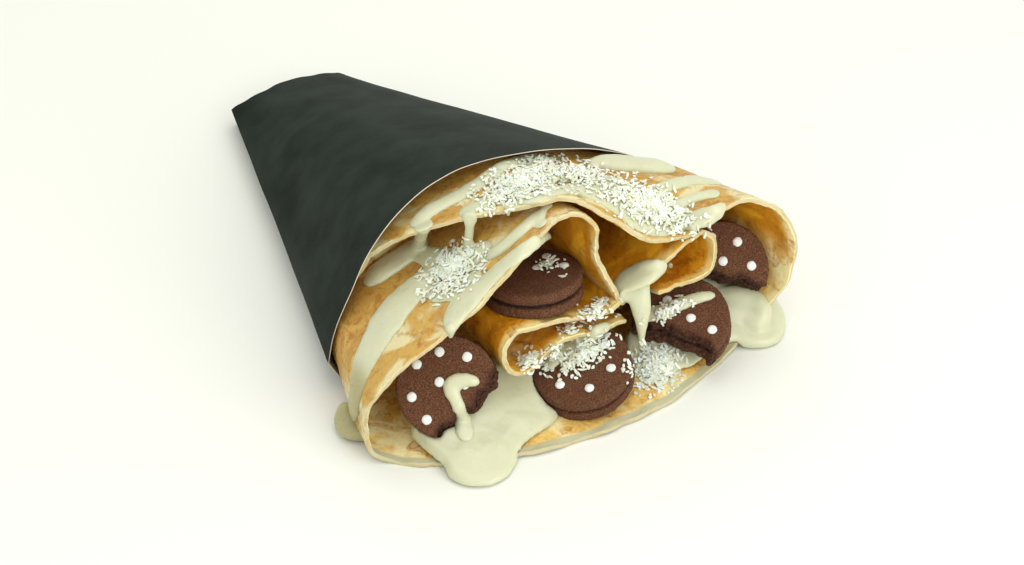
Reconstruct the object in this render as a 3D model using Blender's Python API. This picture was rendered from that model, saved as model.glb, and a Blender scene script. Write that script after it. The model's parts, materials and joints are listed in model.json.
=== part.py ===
"""Folded crepe in a paper cone, with sandwich cookies, cream and coconut. Lengths here are millimetres."""

import math
import random

import bmesh
import bpy
from mathutils import Matrix, Vector
from mathutils.bvhtree import BVHTree

MM = 0.001
GAP = 0.35

# The crepe's sheet: its thickness, how far back it runs and how it is divided
SHEET = 2.8
SHEET_END_Y = 4.0
SHEET_ROWS = (0, 0.05, 0.36, 0.68, 1)
SHEET_STEPS = 3
SHEET_NARROWING = 0.94
EDGE_ROUNDNESS = 0.75
EDGE_TOLERANCE = 0.14
LONGEST_STEP = 16
# The sheet's right wall bulges by this much where it is wider than the start
BELLY = 2.4
BELLY_START_X = 70
BELLY_WIDTH = 25
# The valley in the top layer gets shallower behind its rim: the line it is filled up to, from left
# to right, where along the rim that starts, the lowest rim it applies to, and how full it gets
VALLEY_LEFT, VALLEY_RIGHT = (16, 82), (78, 71)
VALLEY_START_X = 19
VALLEY_SIDE = 4
VALLEY_LEAST_Z = 61
VALLEY_FILL = 0.9
VALLEY_SHARES = (0, 0, 0.7, 0.4, 0)
# Near the sleeve the sheet lifts off the table, to lie on the paper
LIFT = 1.7
LIFT_START_Y = -62
LIFT_LENGTH = 16
# Where the folds run to, far behind the mouth
APEX = Vector((0, 253, 12))
TUBE_APEX = Vector((0, 253, -25))

# The paper sleeve and the folded mass in it
PAPER = 0.8
SLEEVE_LEVELS = (0, 0.2, 0.4, 0.6, 0.8, 1)
SLEEVE_SEAM = 2.0
SLEEVE_CHECK_Y = -38.0
SLEEVE_ROOM = 0.4
SHARPEST_CORNER = 0.45
FLATTEST_MEETING = 0.3
CORE_ROOM = 1.2
CORE_FRONT_Y = -14.0
CORE_LEVELS_Y = (14, 50, 100, 146)

# The cookies: two biscuits with a filling between them
COOKIE_RADIUS = 20.6
COOKIE_SEGMENTS = 24
BISCUIT_THICKNESS = 4.3
BISCUIT_EDGE = 1.2
FILLING_RADIUS = 18.6
FILLING_THICKNESS = 1.5
FACE_HEIGHT = FILLING_THICKNESS / 2 + GAP + BISCUIT_THICKNESS
CUTTER_HALF_HEIGHT = 12
CUTTER_REACH = 40
BREAK_ROOM = 0.65
FILLING_SHIFT = -0.8
BASE_SHIFT = 0.6
DOT_RADIUS = 2.1
DOT_SIDES = 7
# A sugar dot from its foot up: share of the radius, and height
DOT_PROFILE = ((0, -0.7), (1, -0.7), (0.8, 0.7), (0, 1.1))

# Stripes of cream and shreds of coconut
STRIPE_DEPTH = 0.9
STRAND_HEIGHT = 1.6
STRAND_DEPTH = 1.4
STRAND_OVERLAP = 1.5
STRAND_SHARES = (0.35, 0.7)
STRAND_FLARES = (1.3, 0.8, 0.8, 1.3)
STRIPE_STEPS = 2
STRIPE_END_WIDTH = 0.45
STRIPE_END_HEIGHT = 0.55
STRIPE_SNAP = 5
LEAST_FACING = 0.3
LEAST_SEEN_SHARE = 0.5
COOKIE_STRIPE_HEIGHT = 1.7
SHRED_HALF_WIDTH = 0.75
SHRED_TILT = 0.5
SHRED_LIFT = 0.1
SHRED_LENGTHS = (3.6, 5.6)
SHRED_LENGTH = 4.6
GOLDEN_ANGLE = math.pi * (3 - math.sqrt(5))
# A pool's rings from its foot up: size against the outline, and share of the height
POOL_RINGS = ((0.95, 0.0), (1.0, 0.3), (0.93, 0.78), (0.6, 1.0), (0.25, 1.0))
POOL_LEAST_HEIGHT = 1.2
POOL_STEPS = 2
# Middle of each pool, and of the cream at the left, from above
FRONT_MIDDLE = (-42, -88)
RIGHT_MIDDLE = (68, -87)
LOBE_MIDDLE = (-87, -56)
LOBE_HEIGHT = 6.5
# Top of the front pool: its height in the mouth's middle, its rise inwards from a place over a
# length, and its fall outwards from a place over a length
FRONT_HEIGHT = 9
FRONT_RISE, FRONT_RISE_Y, FRONT_RISE_LENGTH = 10, -94, 24
FRONT_FALL, FRONT_FALL_Y, FRONT_FALL_LENGTH = 4.6, -96, 18
# Top of the right pool: the same, with its rise halved at its left end
RIGHT_HEIGHT = 5.2
RIGHT_RISE, RIGHT_RISE_Y, RIGHT_RISE_LENGTH = 15.5, -99, 27
RIGHT_LEFT_SHARE, RIGHT_LEFT_X, RIGHT_LEFT_WIDTH = 0.5, 42, 24

# The middle of the underside of the whole, which becomes the origin
ORIGIN = Vector((4.66, 21, 0))

# The view from the front left, over which the cream and the coconut are laid out
VIEW_AZIMUTH = math.radians(-32)
VIEW_ELEVATION = math.radians(39)
VIEW_DISTANCE = 1160
VIEW_TARGET = Vector((-2, -42, 30))
VIEW_RIGHT = Vector((math.cos(VIEW_AZIMUTH), math.sin(VIEW_AZIMUTH), 0))
VIEW_AWAY = Vector((
    math.sin(VIEW_AZIMUTH) * math.cos(VIEW_ELEVATION),
    -math.cos(VIEW_AZIMUTH) * math.cos(VIEW_ELEVATION),
    math.sin(VIEW_ELEVATION),
))
VIEW_UP = VIEW_AWAY.cross(VIEW_RIGHT)

# The wrap: from the top layer's hidden end over the right fold, along the table, round the left
# fold, back up over the slope and down the ruffle
WRAP = [
    (-69, -22, 40), (-62, -26, 56), (-55, -30, 63), (-41, -40, 73), (-22, -52, 80), (-8, -60, 84),
    (3, -66, 86), (11, -71, 85.5), (20, -76, 79), (30, -80, 70), (40, -84, 63), (50, -88, 62),
    (60, -89, 66), (72, -90, 70.5), (85, -92, 69), (96, -95, 60), (101, -98, 46), (100, -98, 30),
    (95, -95, 14), (86, -93, 4), (72, -99, 1.4), (50, -107, 1.4), (25, -112.5, 1.4),
    (0, -113.3, 1.4), (-25, -110.5, 1.4), (-50, -104, 1.4), (-72, -93, 1.4), (-85, -82, 1.8),
    (-90.5, -77, 6), (-91.5, -76, 16), (-90, -77, 29), (-83, -79, 38), (-66, -80, 49),
    (-50, -80, 56), (-33, -79, 64), (-20, -77, 73), (-8, -74, 79), (3, -72, 82), (11, -73, 80.5),
    (16, -75, 75.5), (17, -76, 69), (16, -78, 62), (18, -80, 52), (22, -84, 42), (25, -85, 36),
]
# The inner tube: from the tip left along the shelf, round the nose and back right below it
TUBE = [
    (25, -85.5, 39.5), (18, -85, 36.8), (5, -84, 38.5), (-8, -84, 40.5), (-20, -84, 43),
    (-28, -85, 43), (-33, -86, 38), (-32, -87, 30), (-25, -88, 25), (-16, -88, 27.5),
    (-8, -87, 30.5), (4, -86, 29), (16, -86, 28), (26, -86, 28),
]
# The scoop: from the tip up to the right, ending in a flat curl
SCOOP = [
    (20, -83.5, 37), (27, -85, 42), (35, -86, 46), (43, -86, 51), (51, -87, 56.5), (58, -87, 60),
    (65, -87, 57), (68.5, -87, 48), (66, -87.5, 39), (57, -88, 37.5), (47, -89, 39), (38, -90, 40),
]
# Outline of the sleeve at its mouth and at its flat far end, from the left crease over the top
MOUTH = [
    (-83, -30, 14), (-80, -30, 28), (-72, -30, 45), (-60, -30, 66), (-42, -28, 79),
    (-24, -26, 83.5), (-9, -25, 83.5), (14, -25, 80), (34, -26, 75), (53, -28, 68),
    (72, -30, 56), (85, -30, 38), (89, -30, 14), (83, -33, 0), (42, -38, 0), (0, -40, 0),
    (-42, -38, 0), (-76, -32, 0),
]
FAR_END = [
    (-31, 156, 9), (-29, 156, 10), (-24, 156, 11), (-18, 157, 11.8), (-12, 157, 12.4),
    (-6, 158, 12.8), (0, 158, 12.8), (6, 158, 12.4), (12, 157, 11.8), (18, 157, 11),
    (23, 156, 10), (26, 156, 9), (28, 155, 8), (26, 156, 0), (13, 157, 0), (0, 158, 0),
    (-13, 157, 0), (-28, 156, 0),
]
# Height of the sleeve's middle: the most it is, and its share of the height at the top
SLEEVE_MIDDLE_MOST = 22
SLEEVE_MIDDLE_SHARE = 0.45
SLEEVE_TOP_POINT = 6
# A point this near to the middle stays where it is; a side this parallel to its ray isn't met
NEAR_MIDDLE = 1.0
PARALLEL = 1e-9
ON_SIDE = 1e-6
# Front of the folded mass that fills the sleeve, from the lower left over the top
CORE_FRONT = [
    (-71, 14), (-68, 27), (-62, 41), (-52, 52), (-39, 59), (-22, 64), (-7, 66), (10, 62), (24, 53),
    (42, 49), (60, 50), (71, 40), (71, 16), (64, 4), (40, 2.6), (0, 2.4), (-40, 2.6), (-66, 4),
]
# Centre, face normal and break line (in the face's own right and up directions) of each cookie
COOKIES = {
    "left": ((-55, -78, 24), (-0.41, -0.66, 0.63),
             [(24, 9), (18.5, 5), (18, 0.5), (13.5, -3), (11.5, -8.5), (6, -10.5), (3.5, -15),
              (-2, -17), (-4, -24)]),
    "shelf": ((-5, -62.5, 45), (0.05, 0.16, 0.98), []),
    "front": ((3, -89, 12.8), (-0.25, -0.1, 0.96), []),
    "right": ((50, -90.5, 18.5), (-0.3, -0.25, 0.92),
              [(-24, 3), (-15, 0), (-12.5, -2.8), (-8.5, -2.4), (-5, -4.2), (-1, -6.8), (3.4, -8.6),
               (7.5, -10.2), (10.3, -12.2), (12, -15.5), (14, -24)]),
    "far": ((75.7, -79.9, 29.6), (-0.35, -0.75, 0.55),
            [(-10, 24), (-9, 14), (-11, 5), (-9, -2.5), (-4, -1), (3, -4.5), (9, -3.5), (14, -7),
             (24, -8.5)]),
}
# Sugar dots and coconut shreds on each cookie, in the face's own right and up directions
DOTS = {
    "left": [(-12, 9), (-3, 14), (8, 12), (-14, -4), (-3, 2), (7, 1), (-8, -13)],
    "shelf": [(6, 12), (13, 4), (2, 3)],
    "front": [(-9, -9), (3, -12), (12, -3), (-2, 12), (10, 9)],
    "right": [(4.5, 0), (-5, 9), (8, 10), (13, -6)],
    "far": [(-4, 14), (7, 12), (1, 4), (13, 2)],
}
SHREDS = {
    "shelf": [(10, 8, 0.4), (8, 0, 1.9), (3, 8, 2.6), (13, -2, 0.9)],
    "front": [(-11, 0, 0.3), (-4, -3, 1.5), (2, -4, 2.4), (7, 3, 0.8), (0, 5, 2.0), (-7, 5, 1.1),
              (5, 9, 2.8), (12, 4, 0.2)],
    "right": [(0, 3, 0.5), (8, -5, 1.7), (-8, 2, 2.6), (11, 3, 1.2)],
}
# Stripes of cream on the cookies and on the crepe, as (right, up, half width) in the view's
# plane, with the stripe's height
COOKIE_STRIPES = {
    "left": [[(-26.1, -42.6, 3.4), (-22.8, -43.7, 3.6), (-21.1, -48.3, 2.6), (-22.4, -53.5, 2.4)]],
    "front": [[(14.4, -33.5, 2.6), (21.6, -30.2, 3.0), (29.0, -24.4, 2.8), (33.8, -20.5, 2.2)]],
    "right": [[(60.9, -12.7, 2.4), (69.2, -9.7, 2.8), (78.3, -7.3, 2.6), (83.3, -6.0, 2.0)]],
}
STRIPES = [
    ([(-59.7, 0.6, 3.4), (-56.8, 3.9, 4.2), (-51.4, 8.5, 3.2), (-45.6, 13.5, 2.6),
      (-40.5, 16.3, 2.0)], 2.0),
    ([(-33.5, 25.0, 2.0), (-29.8, 27.1, 2.2), (-22.8, 30.4, 2.0), (-13.3, 37.1, 2.2),
      (-4.1, 43.3, 2.6), (4.1, 47.5, 3.0)], 1.8),
    ([(-66.3, -40.4, 5.4), (-62.1, -28.8, 6.4), (-57.2, -17.6, 6.8), (-51.4, -8.5, 7),
      (-43.1, -1.4, 7), (-34.0, 6.0, 6.2), (-24.9, 11.8, 4.5)], 2.0),
    ([(-16.6, 25.6, 2.2), (-11.6, 30.0, 3.6), (-5.0, 35.0, 4.4), (3.3, 40.0, 5)], 1.8),
    ([(10.8, 23.6, 2.4), (7.2, 18.3, 3.2), (0.2, 10.6, 3.6), (-8.1, 4.6, 4.0), (-15.6, -2.4, 4.2),
      (-21.6, -8.0, 3.8), (-25.2, -13.5, 2.6)], 2.0),
    ([(41.4, 46.3, 3.5), (46.8, 48.0, 4.6), (55.1, 47.4, 5.0), (62.1, 44.6, 4.0)], 2.6),
    ([(59.2, 35.8, 2.2), (67.5, 37.4, 2.8), (77.9, 38.2, 3.2), (85.0, 36.1, 2.6)], 2.2),
    ([(67.9, 28.4, 2.4), (73.7, 31.0, 2.6), (81.2, 32.2, 2.6), (88.8, 31.0, 2.2)], 2.0),
    ([(53.0, 22.6, 2.4), (58.0, 21.6, 2.4), (64.6, 22.0, 2.2), (73.7, 24.2, 2.8),
      (80.4, 26.6, 2.2)], 1.8),
    ([(64.6, 8.7, 2.4), (57.2, 6.0, 4.0), (48.9, 3.3, 5.0), (43.8, -1.3, 4.6)], 2.0),
]
# Strands of cream across the slit between two layers: start, end and half width
STRANDS = [
    ((-39.5, 15.2), (-35.5, 23.5), 1.9), ((-18.2, 14.5), (-17.4, 26.5), 2.0),
    ((11.8, 24.5), (14.0, 31.5), 3.0),
]
# The stream that hangs down from the scoop
DRIP = [(30.5, -86.3, 41.5), (30.5, -88.5, 36.5), (30, -90.5, 29), (29, -92.5, 19)]
DRIP_WIDTHS = (3.8, 3.4, 2.2, 1.7)
# Outline from above of the cream that has run on to the table at the left
LOBE = [
    (-82, -46, 0.3), (-87, -45, 0), (-91, -48, 0), (-94, -55, 0), (-94, -62, 0), (-90, -67, 0),
    (-86, -66, 0.3), (-83, -56, 0.3),
]
# Section of a stripe of cream, as shares of its half width and of its height
STRIPE_SECTION = [(-1, -0.3), (-0.72, 0.72), (0, 1), (0.72, 0.72), (1, -0.3), (0, -1)]
# Coconut on the crepe: middle, half length, half width, turn in degrees and count of each patch
PATCHES = [
    (5.4, 41.0, 17, 7, 20, 18), (-23.6, 7.0, 14, 7, 38, 17), (58, 31.3, 20, 8, -22, 22),
    (27, -13.0, 14, 3.5, 12, 9),
]
POOL_PATCH = [(66, -34.5, 7, 2.4, 25, 9)]
# Outlines of the cream pools from above, with the height of the foot
FRONT_POOL = [
    (-69, -98, 1.4), (-70, -104, 0), (-66, -111.5, 0), (-57.5, -116, 0), (-48, -114.5, 0),
    (-39, -107.5, 0), (-30, -103.5, 1.4), (-19, -101, 1.4), (-8, -94, 1.4), (4, -84, 1.4),
    (2, -72, 1.4), (-12, -64, 1.4), (-30, -60, 1.4), (-46, -60, 1.4), (-62, -66, 1.4),
    (-72, -78, 1.4),
]
RIGHT_POOL = [
    (34, -99, 1.4), (48, -102, 1.4), (62, -98, 1.4), (71, -97, 1.4), (76, -100, 0.8),
    (82, -104, 0), (90, -105.5, 0), (98, -100, 0), (103, -92, 0), (103, -84, 0), (96, -80, 0.5),
    (90, -74, 3), (82, -64, 3), (66, -62, 2.6), (46, -66, 1.4), (32, -74, 1.4), (25, -88, 1.4),
]
# Base colour and roughness of each material
LOOKS = {
    "crepe": ((0.72, 0.53, 0.22), 0.55),
    "black_paper": ((0.035, 0.045, 0.036), 0.75),
    "cream": ((0.70, 0.69, 0.45), 0.3),
    "cocoa_biscuit": ((0.115, 0.05, 0.028), 0.85),
    "cocoa_filling": ((0.03, 0.012, 0.008), 0.6),
}
SEED = 7


def clear_scene():
    for old in list(bpy.data.objects):
        bpy.data.objects.remove(old, do_unlink=True)


def material(name, colour, roughness):
    made = bpy.data.materials.new(name)
    made.use_nodes = True
    shader = made.node_tree.nodes["Principled BSDF"]
    shader.inputs["Base Color"].default_value = (*colour, 1)
    shader.inputs["Roughness"].default_value = roughness
    shader.inputs["Metallic"].default_value = 0
    return made


def mesh_object(name, points, faces, surface):
    """A closed mesh with its normals outwards, from points in millimetres."""
    mesh = bpy.data.meshes.new(name)
    mesh.from_pydata([tuple(Vector(point) * MM) for point in points], [], faces)
    build = bmesh.new()
    build.from_mesh(mesh)
    bmesh.ops.recalc_face_normals(build, faces=build.faces)
    build.to_mesh(mesh)
    build.free()
    mesh.materials.append(surface)
    made = bpy.data.objects.new(name, mesh)
    bpy.context.scene.collection.objects.link(made)
    return made


def smooth_line(points, steps):
    """A Catmull-Rom curve through the points, with this many steps between two of them."""
    knots = [Vector(point) for point in points]
    knots = [2 * knots[0] - knots[1], *knots, 2 * knots[-1] - knots[-2]]
    line = []
    for a, b, c, d in zip(knots, knots[1:], knots[2:], knots[3:]):
        for step in range(steps):
            t = step / steps
            line.append(0.5 * (2 * b + (c - a) * t + (2 * a - 5 * b + 4 * c - d) * t * t
                               + (3 * b - a - 3 * c + d) * t * t * t))
    line.append(knots[-2])
    return line


def thinned(line, tolerance):
    """The line without the points that lie this near to the straight way past them."""
    kept = [line[0]]
    for index in range(1, len(line) - 1):
        way = line[index + 1] - kept[-1]
        off = (line[index] - kept[-1]).cross(way).length / way.length
        if off > tolerance or way.length > LONGEST_STEP:
            kept.append(line[index])
    kept.append(line[-1])
    return kept


def sleeve_section(y):
    """The sleeve's outline at this distance, as points on the straight lines from mouth to far end."""
    section = []
    for front, back in zip(MOUTH, FAR_END):
        t = (y - front[1]) / (back[1] - front[1])
        section.append(Vector(front).lerp(Vector(back), t))
    return section


def inset_section(section, distance):
    """The section moved inwards by a distance."""
    inset = []
    count = len(section)
    for place, point in enumerate(section):
        before, after = section[place - 1], section[(place + 1) % count]
        first = Vector((point.x - before.x, 0, point.z - before.z)).normalized()
        second = Vector((after.x - point.x, 0, after.z - point.z)).normalized()
        into = Vector((0, 1, 0)).cross((first + second).normalized())
        spread = max(SHARPEST_CORNER, math.sqrt((1 + first.dot(second)) / 2))
        inset.append(point + into * (distance / spread))
    return inset


def inside_sleeve(point, margin):
    """The point, or the nearest place on its way to the sleeve's middle that has this much room."""
    section = sleeve_section(point.y)
    top = section[SLEEVE_TOP_POINT].z
    middle = Vector((0, 0, min(SLEEVE_MIDDLE_MOST, top * SLEEVE_MIDDLE_SHARE)))
    away = Vector((point.x - middle.x, 0, point.z - middle.z))
    if away.length < NEAR_MIDDLE:
        return point
    ray = away.normalized()
    for a, b in zip(section, section[1:] + section[:1]):
        side = Vector((b.x - a.x, 0, b.z - a.z))
        start = Vector((a.x - middle.x, 0, a.z - middle.z))
        cross = ray.x * side.z - ray.z * side.x
        if abs(cross) < PARALLEL:
            continue
        reach = (start.x * side.z - start.z * side.x) / cross
        along = (start.x * ray.z - start.z * ray.x) / cross
        if reach > 0 and -ON_SIDE <= along <= 1 + ON_SIDE:
            facing = abs(cross) / side.length
            room = reach - margin / max(facing, FLATTEST_MEETING)
            if away.length > room:
                return Vector((middle.x + ray.x * room, point.y, middle.z + ray.z * room))
            return point
    return point


def clamp(value):
    return max(0.0, min(1.0, value))


def settle(point, half):
    """Keeps a sheet's middle above the table, and inside the sleeve once it is past the mouth."""
    floor = half + LIFT * clamp((point.y - LIFT_START_Y) / LIFT_LENGTH)
    point.z = max(point.z, floor)
    if point.y > SLEEVE_CHECK_Y:
        point = inside_sleeve(point, PAPER + GAP + half + SLEEVE_ROOM)
    return point


def valley_rise(front):
    """How much the sheet rises behind this place of its rim, to make the top layer's valley shallower."""
    (left, start), (right, end) = VALLEY_LEFT, VALLEY_RIGHT
    if front.z < VALLEY_LEAST_Z:
        return 0.0
    line = start + (end - start) * (front.x - left) / (right - left)
    side = clamp((front.x - VALLEY_START_X) / VALLEY_SIDE) * clamp((right - front.x) / VALLEY_SIDE)
    return max(0.0, line - front.z) * side * VALLEY_FILL


def grid_of(rim, apex, half):
    """Rows of the middle surface, from the rim back towards the apex."""
    rows = []
    for front in rim:
        reach = (SHEET_END_Y - front.y) / (apex.y - front.y)
        back = front.lerp(apex, reach)
        back.x *= SHEET_NARROWING
        belly = Vector((BELLY * clamp((front.x - BELLY_START_X) / BELLY_WIDTH), 0, 0))
        rise = valley_rise(front)
        rows.append([
            settle(front.lerp(back, depth) + belly * math.sin(math.pi * depth)
                   + Vector((0, 0, rise * share)), half)
            for depth, share in zip(SHEET_ROWS, VALLEY_SHARES)
        ])
    return rows


def sheet(name, points, apex, surface, grow=0.0):
    """A folded sheet of crepe: the rim line drawn straight back towards the apex, with a round edge."""
    half = SHEET / 2
    rim = thinned(smooth_line(points, SHEET_STEPS), EDGE_TOLERANCE)
    rows = grid_of(rim, apex, half)
    half += grow
    count = len(rows)
    vertices, rings = [], []
    for index, row in enumerate(rows):
        before = rows[max(index - 1, 0)]
        after = rows[min(index + 1, count - 1)]
        top, under = [], []
        for place, middle in enumerate(row):
            ahead = row[max(place - 1, 0)] - row[min(place + 1, len(row) - 1)]
            normal = (after[place] - before[place]).cross(ahead).normalized()
            top.append(middle + normal * half)
            under.append(middle - normal * half)
        nose = row[0] + (row[0] - row[1]).normalized() * (half * EDGE_ROUNDNESS)
        ring = [nose, *top, *reversed(under)]
        rings.append(range(len(vertices), len(vertices) + len(ring)))
        vertices.extend(ring)
    faces = []
    for one, two in zip(rings, rings[1:]):
        for place in range(len(one)):
            following = (place + 1) % len(one)
            faces.append((one[place], one[following], two[following], two[place]))
    for end in (rings[0], rings[-1]):
        across = len(end)
        faces.append((end[0], end[1], end[across - 1]))
        for place in range(1, across // 2):
            faces.append((end[place], end[place + 1], end[across - place - 1], end[across - place]))
    return mesh_object(name, vertices, faces, surface)


def loft(name, sections, surface):
    """A solid through closed sections of equal count."""
    count = len(sections[0])
    points = [point for section in sections for point in section]
    faces = []
    for level in range(len(sections) - 1):
        for place in range(count):
            a = level * count + place
            b = level * count + (place + 1) % count
            faces.append((a, b, b + count, a + count))
    faces.append(tuple(range(count)))
    faces.append(tuple(range(len(points) - count, len(points))))
    return mesh_object(name, points, faces, surface)


def core(surface):
    """The mass of folds that fills the sleeve behind the mouth."""
    sections = [[Vector((x, CORE_FRONT_Y, z)) for x, z in CORE_FRONT]]
    for y in CORE_LEVELS_Y:
        sections.append(inset_section(sleeve_section(y), PAPER + GAP + CORE_ROOM))
    return loft("core", sections, surface)


def sleeve(surface):
    """The paper cone: a thin shell, open at the mouth and pressed flat and shut at the far end."""
    outer, inner = [], []
    for t in SLEEVE_LEVELS:
        section = [Vector(front).lerp(Vector(back), t) for front, back in zip(MOUTH, FAR_END)]
        outer.append(section)
        inner.append(inset_section(section, PAPER))
    for point in inner[-1]:
        point.y -= SLEEVE_SEAM
    count = len(MOUTH)
    rings = outer + inner[::-1]
    points = [point for ring in rings for point in ring]
    faces = []
    for level in range(len(rings) - 1):
        for place in range(count):
            a = level * count + place
            b = level * count + (place + 1) % count
            if level < len(outer) - 1:
                faces.extend([(a, b, b + count), (a, b + count, a + count)])
            elif level >= len(outer):
                faces.extend([(a, b, a + count), (b, b + count, a + count)])
    for place in range(count):
        a, b = place, (place + 1) % count
        last = (len(rings) - 1) * count
        faces.append((a, b, last + b, last + a))
    for level in (len(outer) - 1, len(outer)):
        faces.append(tuple(range(level * count, (level + 1) * count)))
    return mesh_object("paper_sleeve", points, faces, surface)


def turned(profile, segments):
    """Points and faces of a profile of (radius, height) turned about Z; its ends lie on the axis."""
    points = [Vector((0, 0, profile[0][1]))]
    for radius, height in profile[1:-1]:
        for step in range(segments):
            angle = 2 * math.pi * step / segments
            points.append(Vector((radius * math.cos(angle), radius * math.sin(angle), height)))
    points.append(Vector((0, 0, profile[-1][1])))
    faces = []
    for step in range(segments):
        following = (step + 1) % segments
        faces.append((0, 1 + following, 1 + step))
        for ring in range(len(profile) - 3):
            a = 1 + ring * segments
            faces.append((a + step, a + following, a + segments + following, a + segments + step))
        a = 1 + (len(profile) - 3) * segments
        faces.append((a + step, a + following, len(points) - 1))
    return points, faces


def cookie_frame(centre, normal):
    """Places a cookie: its face looks along the normal, its right side is the view's."""
    up = Vector(normal).normalized()
    right = (VIEW_RIGHT - up * VIEW_RIGHT.dot(up)).normalized()
    away = up.cross(right)
    turn = Matrix((right, away, up)).transposed().to_4x4()
    return Matrix.Translation(Vector(centre)) @ turn


def disc(name, frame, radius, low, high, surface):
    """A disc with bevelled edges, between two heights of a cookie's frame."""
    bevelled = radius - BISCUIT_EDGE
    profile = [
        (0, low), (bevelled, low), (radius, low + BISCUIT_EDGE),
        (radius, high - BISCUIT_EDGE), (bevelled, high), (0, high),
    ]
    points, faces = turned(profile, COOKIE_SEGMENTS)
    return mesh_object(name, [frame @ point for point in points], faces, surface)


def break_off(piece, frame, line, shift, outset=0.0):
    """Cuts away what lies outside a ragged line across the cookie."""
    if not line:
        return
    outwards = Vector((line[-1][1] - line[0][1], line[0][0] - line[-1][0], 0)).normalized()
    if Vector((line[len(line) // 2][0], line[len(line) // 2][1], 0)).dot(outwards) < 0:
        outwards = -outwards
    points, faces = [], []
    for side in (-1, 1):
        height = side * CUTTER_HALF_HEIGHT
        tilt = outwards * (shift * side + outset)
        for x, y in line:
            points.append(frame @ (Vector((x, y, height)) + tilt))
        for x, y in (line[-1], line[0]):
            points.append(frame @ (Vector((x, y, height)) + outwards * CUTTER_REACH))
    count = len(line) + 2
    faces = [tuple(range(count)), tuple(range(count, 2 * count))]
    for place in range(count):
        following = (place + 1) % count
        faces.append((place, following, count + following, count + place))
    cutter = mesh_object("cutter", points, faces, piece.data.materials[0])
    boolean(piece, [cutter], "DIFFERENCE")


def boolean(target, others, operation, solver="EXACT"):
    """One Boolean on a collection, applied, with its pieces then removed."""
    group = bpy.data.collections.new("pieces")
    bpy.context.scene.collection.children.link(group)
    for other in others:
        bpy.context.scene.collection.objects.unlink(other)
        group.objects.link(other)
    step = target.modifiers.new("join", "BOOLEAN")
    step.operation = operation
    step.operand_type = "COLLECTION"
    step.collection = group
    step.solver = solver
    step.material_mode = "TRANSFER"
    bpy.context.view_layer.update()
    graph = bpy.context.evaluated_depsgraph_get()
    result = bpy.data.meshes.new_from_object(target.evaluated_get(graph))
    target.modifiers.clear()
    target.data = result
    for other in others:
        bpy.data.objects.remove(other, do_unlink=True)
    bpy.data.collections.remove(group)


def nest(centre, normal, line, surface):
    """The room that a cookie takes up, with the gap round it."""
    frame = cookie_frame(centre, normal)
    half = FACE_HEIGHT + GAP
    room = disc("nest", frame, COOKIE_RADIUS + GAP, -half, half, surface)
    break_off(room, frame, line, 0.0, BREAK_ROOM)
    return room


def sight_line(a, b):
    """Where the sight line through this point of the view's plane starts and how it runs."""
    eye = VIEW_TARGET + VIEW_AWAY * VIEW_DISTANCE
    return eye, (VIEW_TARGET + VIEW_RIGHT * a + VIEW_UP * b - eye).normalized()


def tree_of(piece):
    """The piece's surface in millimetres, for finding places on it."""
    mesh = piece.data
    points = [vertex.co / MM for vertex in mesh.vertices]
    return BVHTree.FromPolygons(points, [tuple(face.vertices) for face in mesh.polygons])


def on_surface(tree, a, b):
    """The place and the normal where this sight line meets the surface, if it does."""
    eye, way = sight_line(a, b)
    place, normal, _, _ = tree.ray_cast(eye, way)
    if place is None:
        return None
    if normal.dot(way) > 0:
        normal = -normal
    return place, normal


def strand(name, places, widths, height, surface, depth=STRIPE_DEPTH, tree=None):
    """A rounded stripe of cream along places with their normals; it hugs the tree's surface."""
    rings = []
    count = len(places)
    for index, (place, normal) in enumerate(places):
        ahead = places[min(index + 1, count - 1)][0] - places[max(index - 1, 0)][0]
        across = ahead.cross(normal).normalized()
        half, rise = widths[index], height
        if tree:
            half /= max(LEAST_SEEN_SHARE, seen_share(ahead, across))
        if index in (0, count - 1):
            half, rise = half * STRIPE_END_WIDTH, height * STRIPE_END_HEIGHT
        ring = []
        for x, z in STRIPE_SECTION:
            foot, out = place + across * (half * x), normal
            if tree:
                near, facing, _, gap = tree.find_nearest(foot)
                if gap < STRIPE_SNAP and abs(facing.dot(normal)) > LEAST_FACING:
                    foot, out = near, facing if facing.dot(normal) > 0 else -facing
            ring.append(foot + out * (rise * z if z > 0 else depth * z))
        rings.append(ring)
    return loft(name, rings, surface)


def hanging(path, widths, surface):
    """A strand of cream that hangs free along a path."""
    places = [(Vector(point), VIEW_AWAY) for point in path]
    return strand("strand", places, widths, STRAND_HEIGHT, surface, STRAND_DEPTH)


def seen_share(ahead, across):
    """How much of a stripe's width the view shows, from 0 to 1."""
    run = Vector((ahead.dot(VIEW_RIGHT), ahead.dot(VIEW_UP))).normalized()
    return abs(across.dot(VIEW_RIGHT) * run.y - across.dot(VIEW_UP) * run.x)


def stripe(tree, name, path, height, surface):
    """A stripe of cream laid on what the view shows along its path of (right, up, half width)."""
    line = smooth_line(path, STRIPE_STEPS)
    places, widths = [], []
    for a, b, half in line:
        hit = on_surface(tree, a, b)
        if hit:
            places.append(hit)
            widths.append(half)
    evened = []
    for index, (place, normal) in enumerate(places):
        near = places[max(index - 1, 0):index + 2]
        evened.append((place, sum((other[1] for other in near), Vector()).normalized()))
    return strand(name, evened, widths, height, surface, tree=tree)


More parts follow.
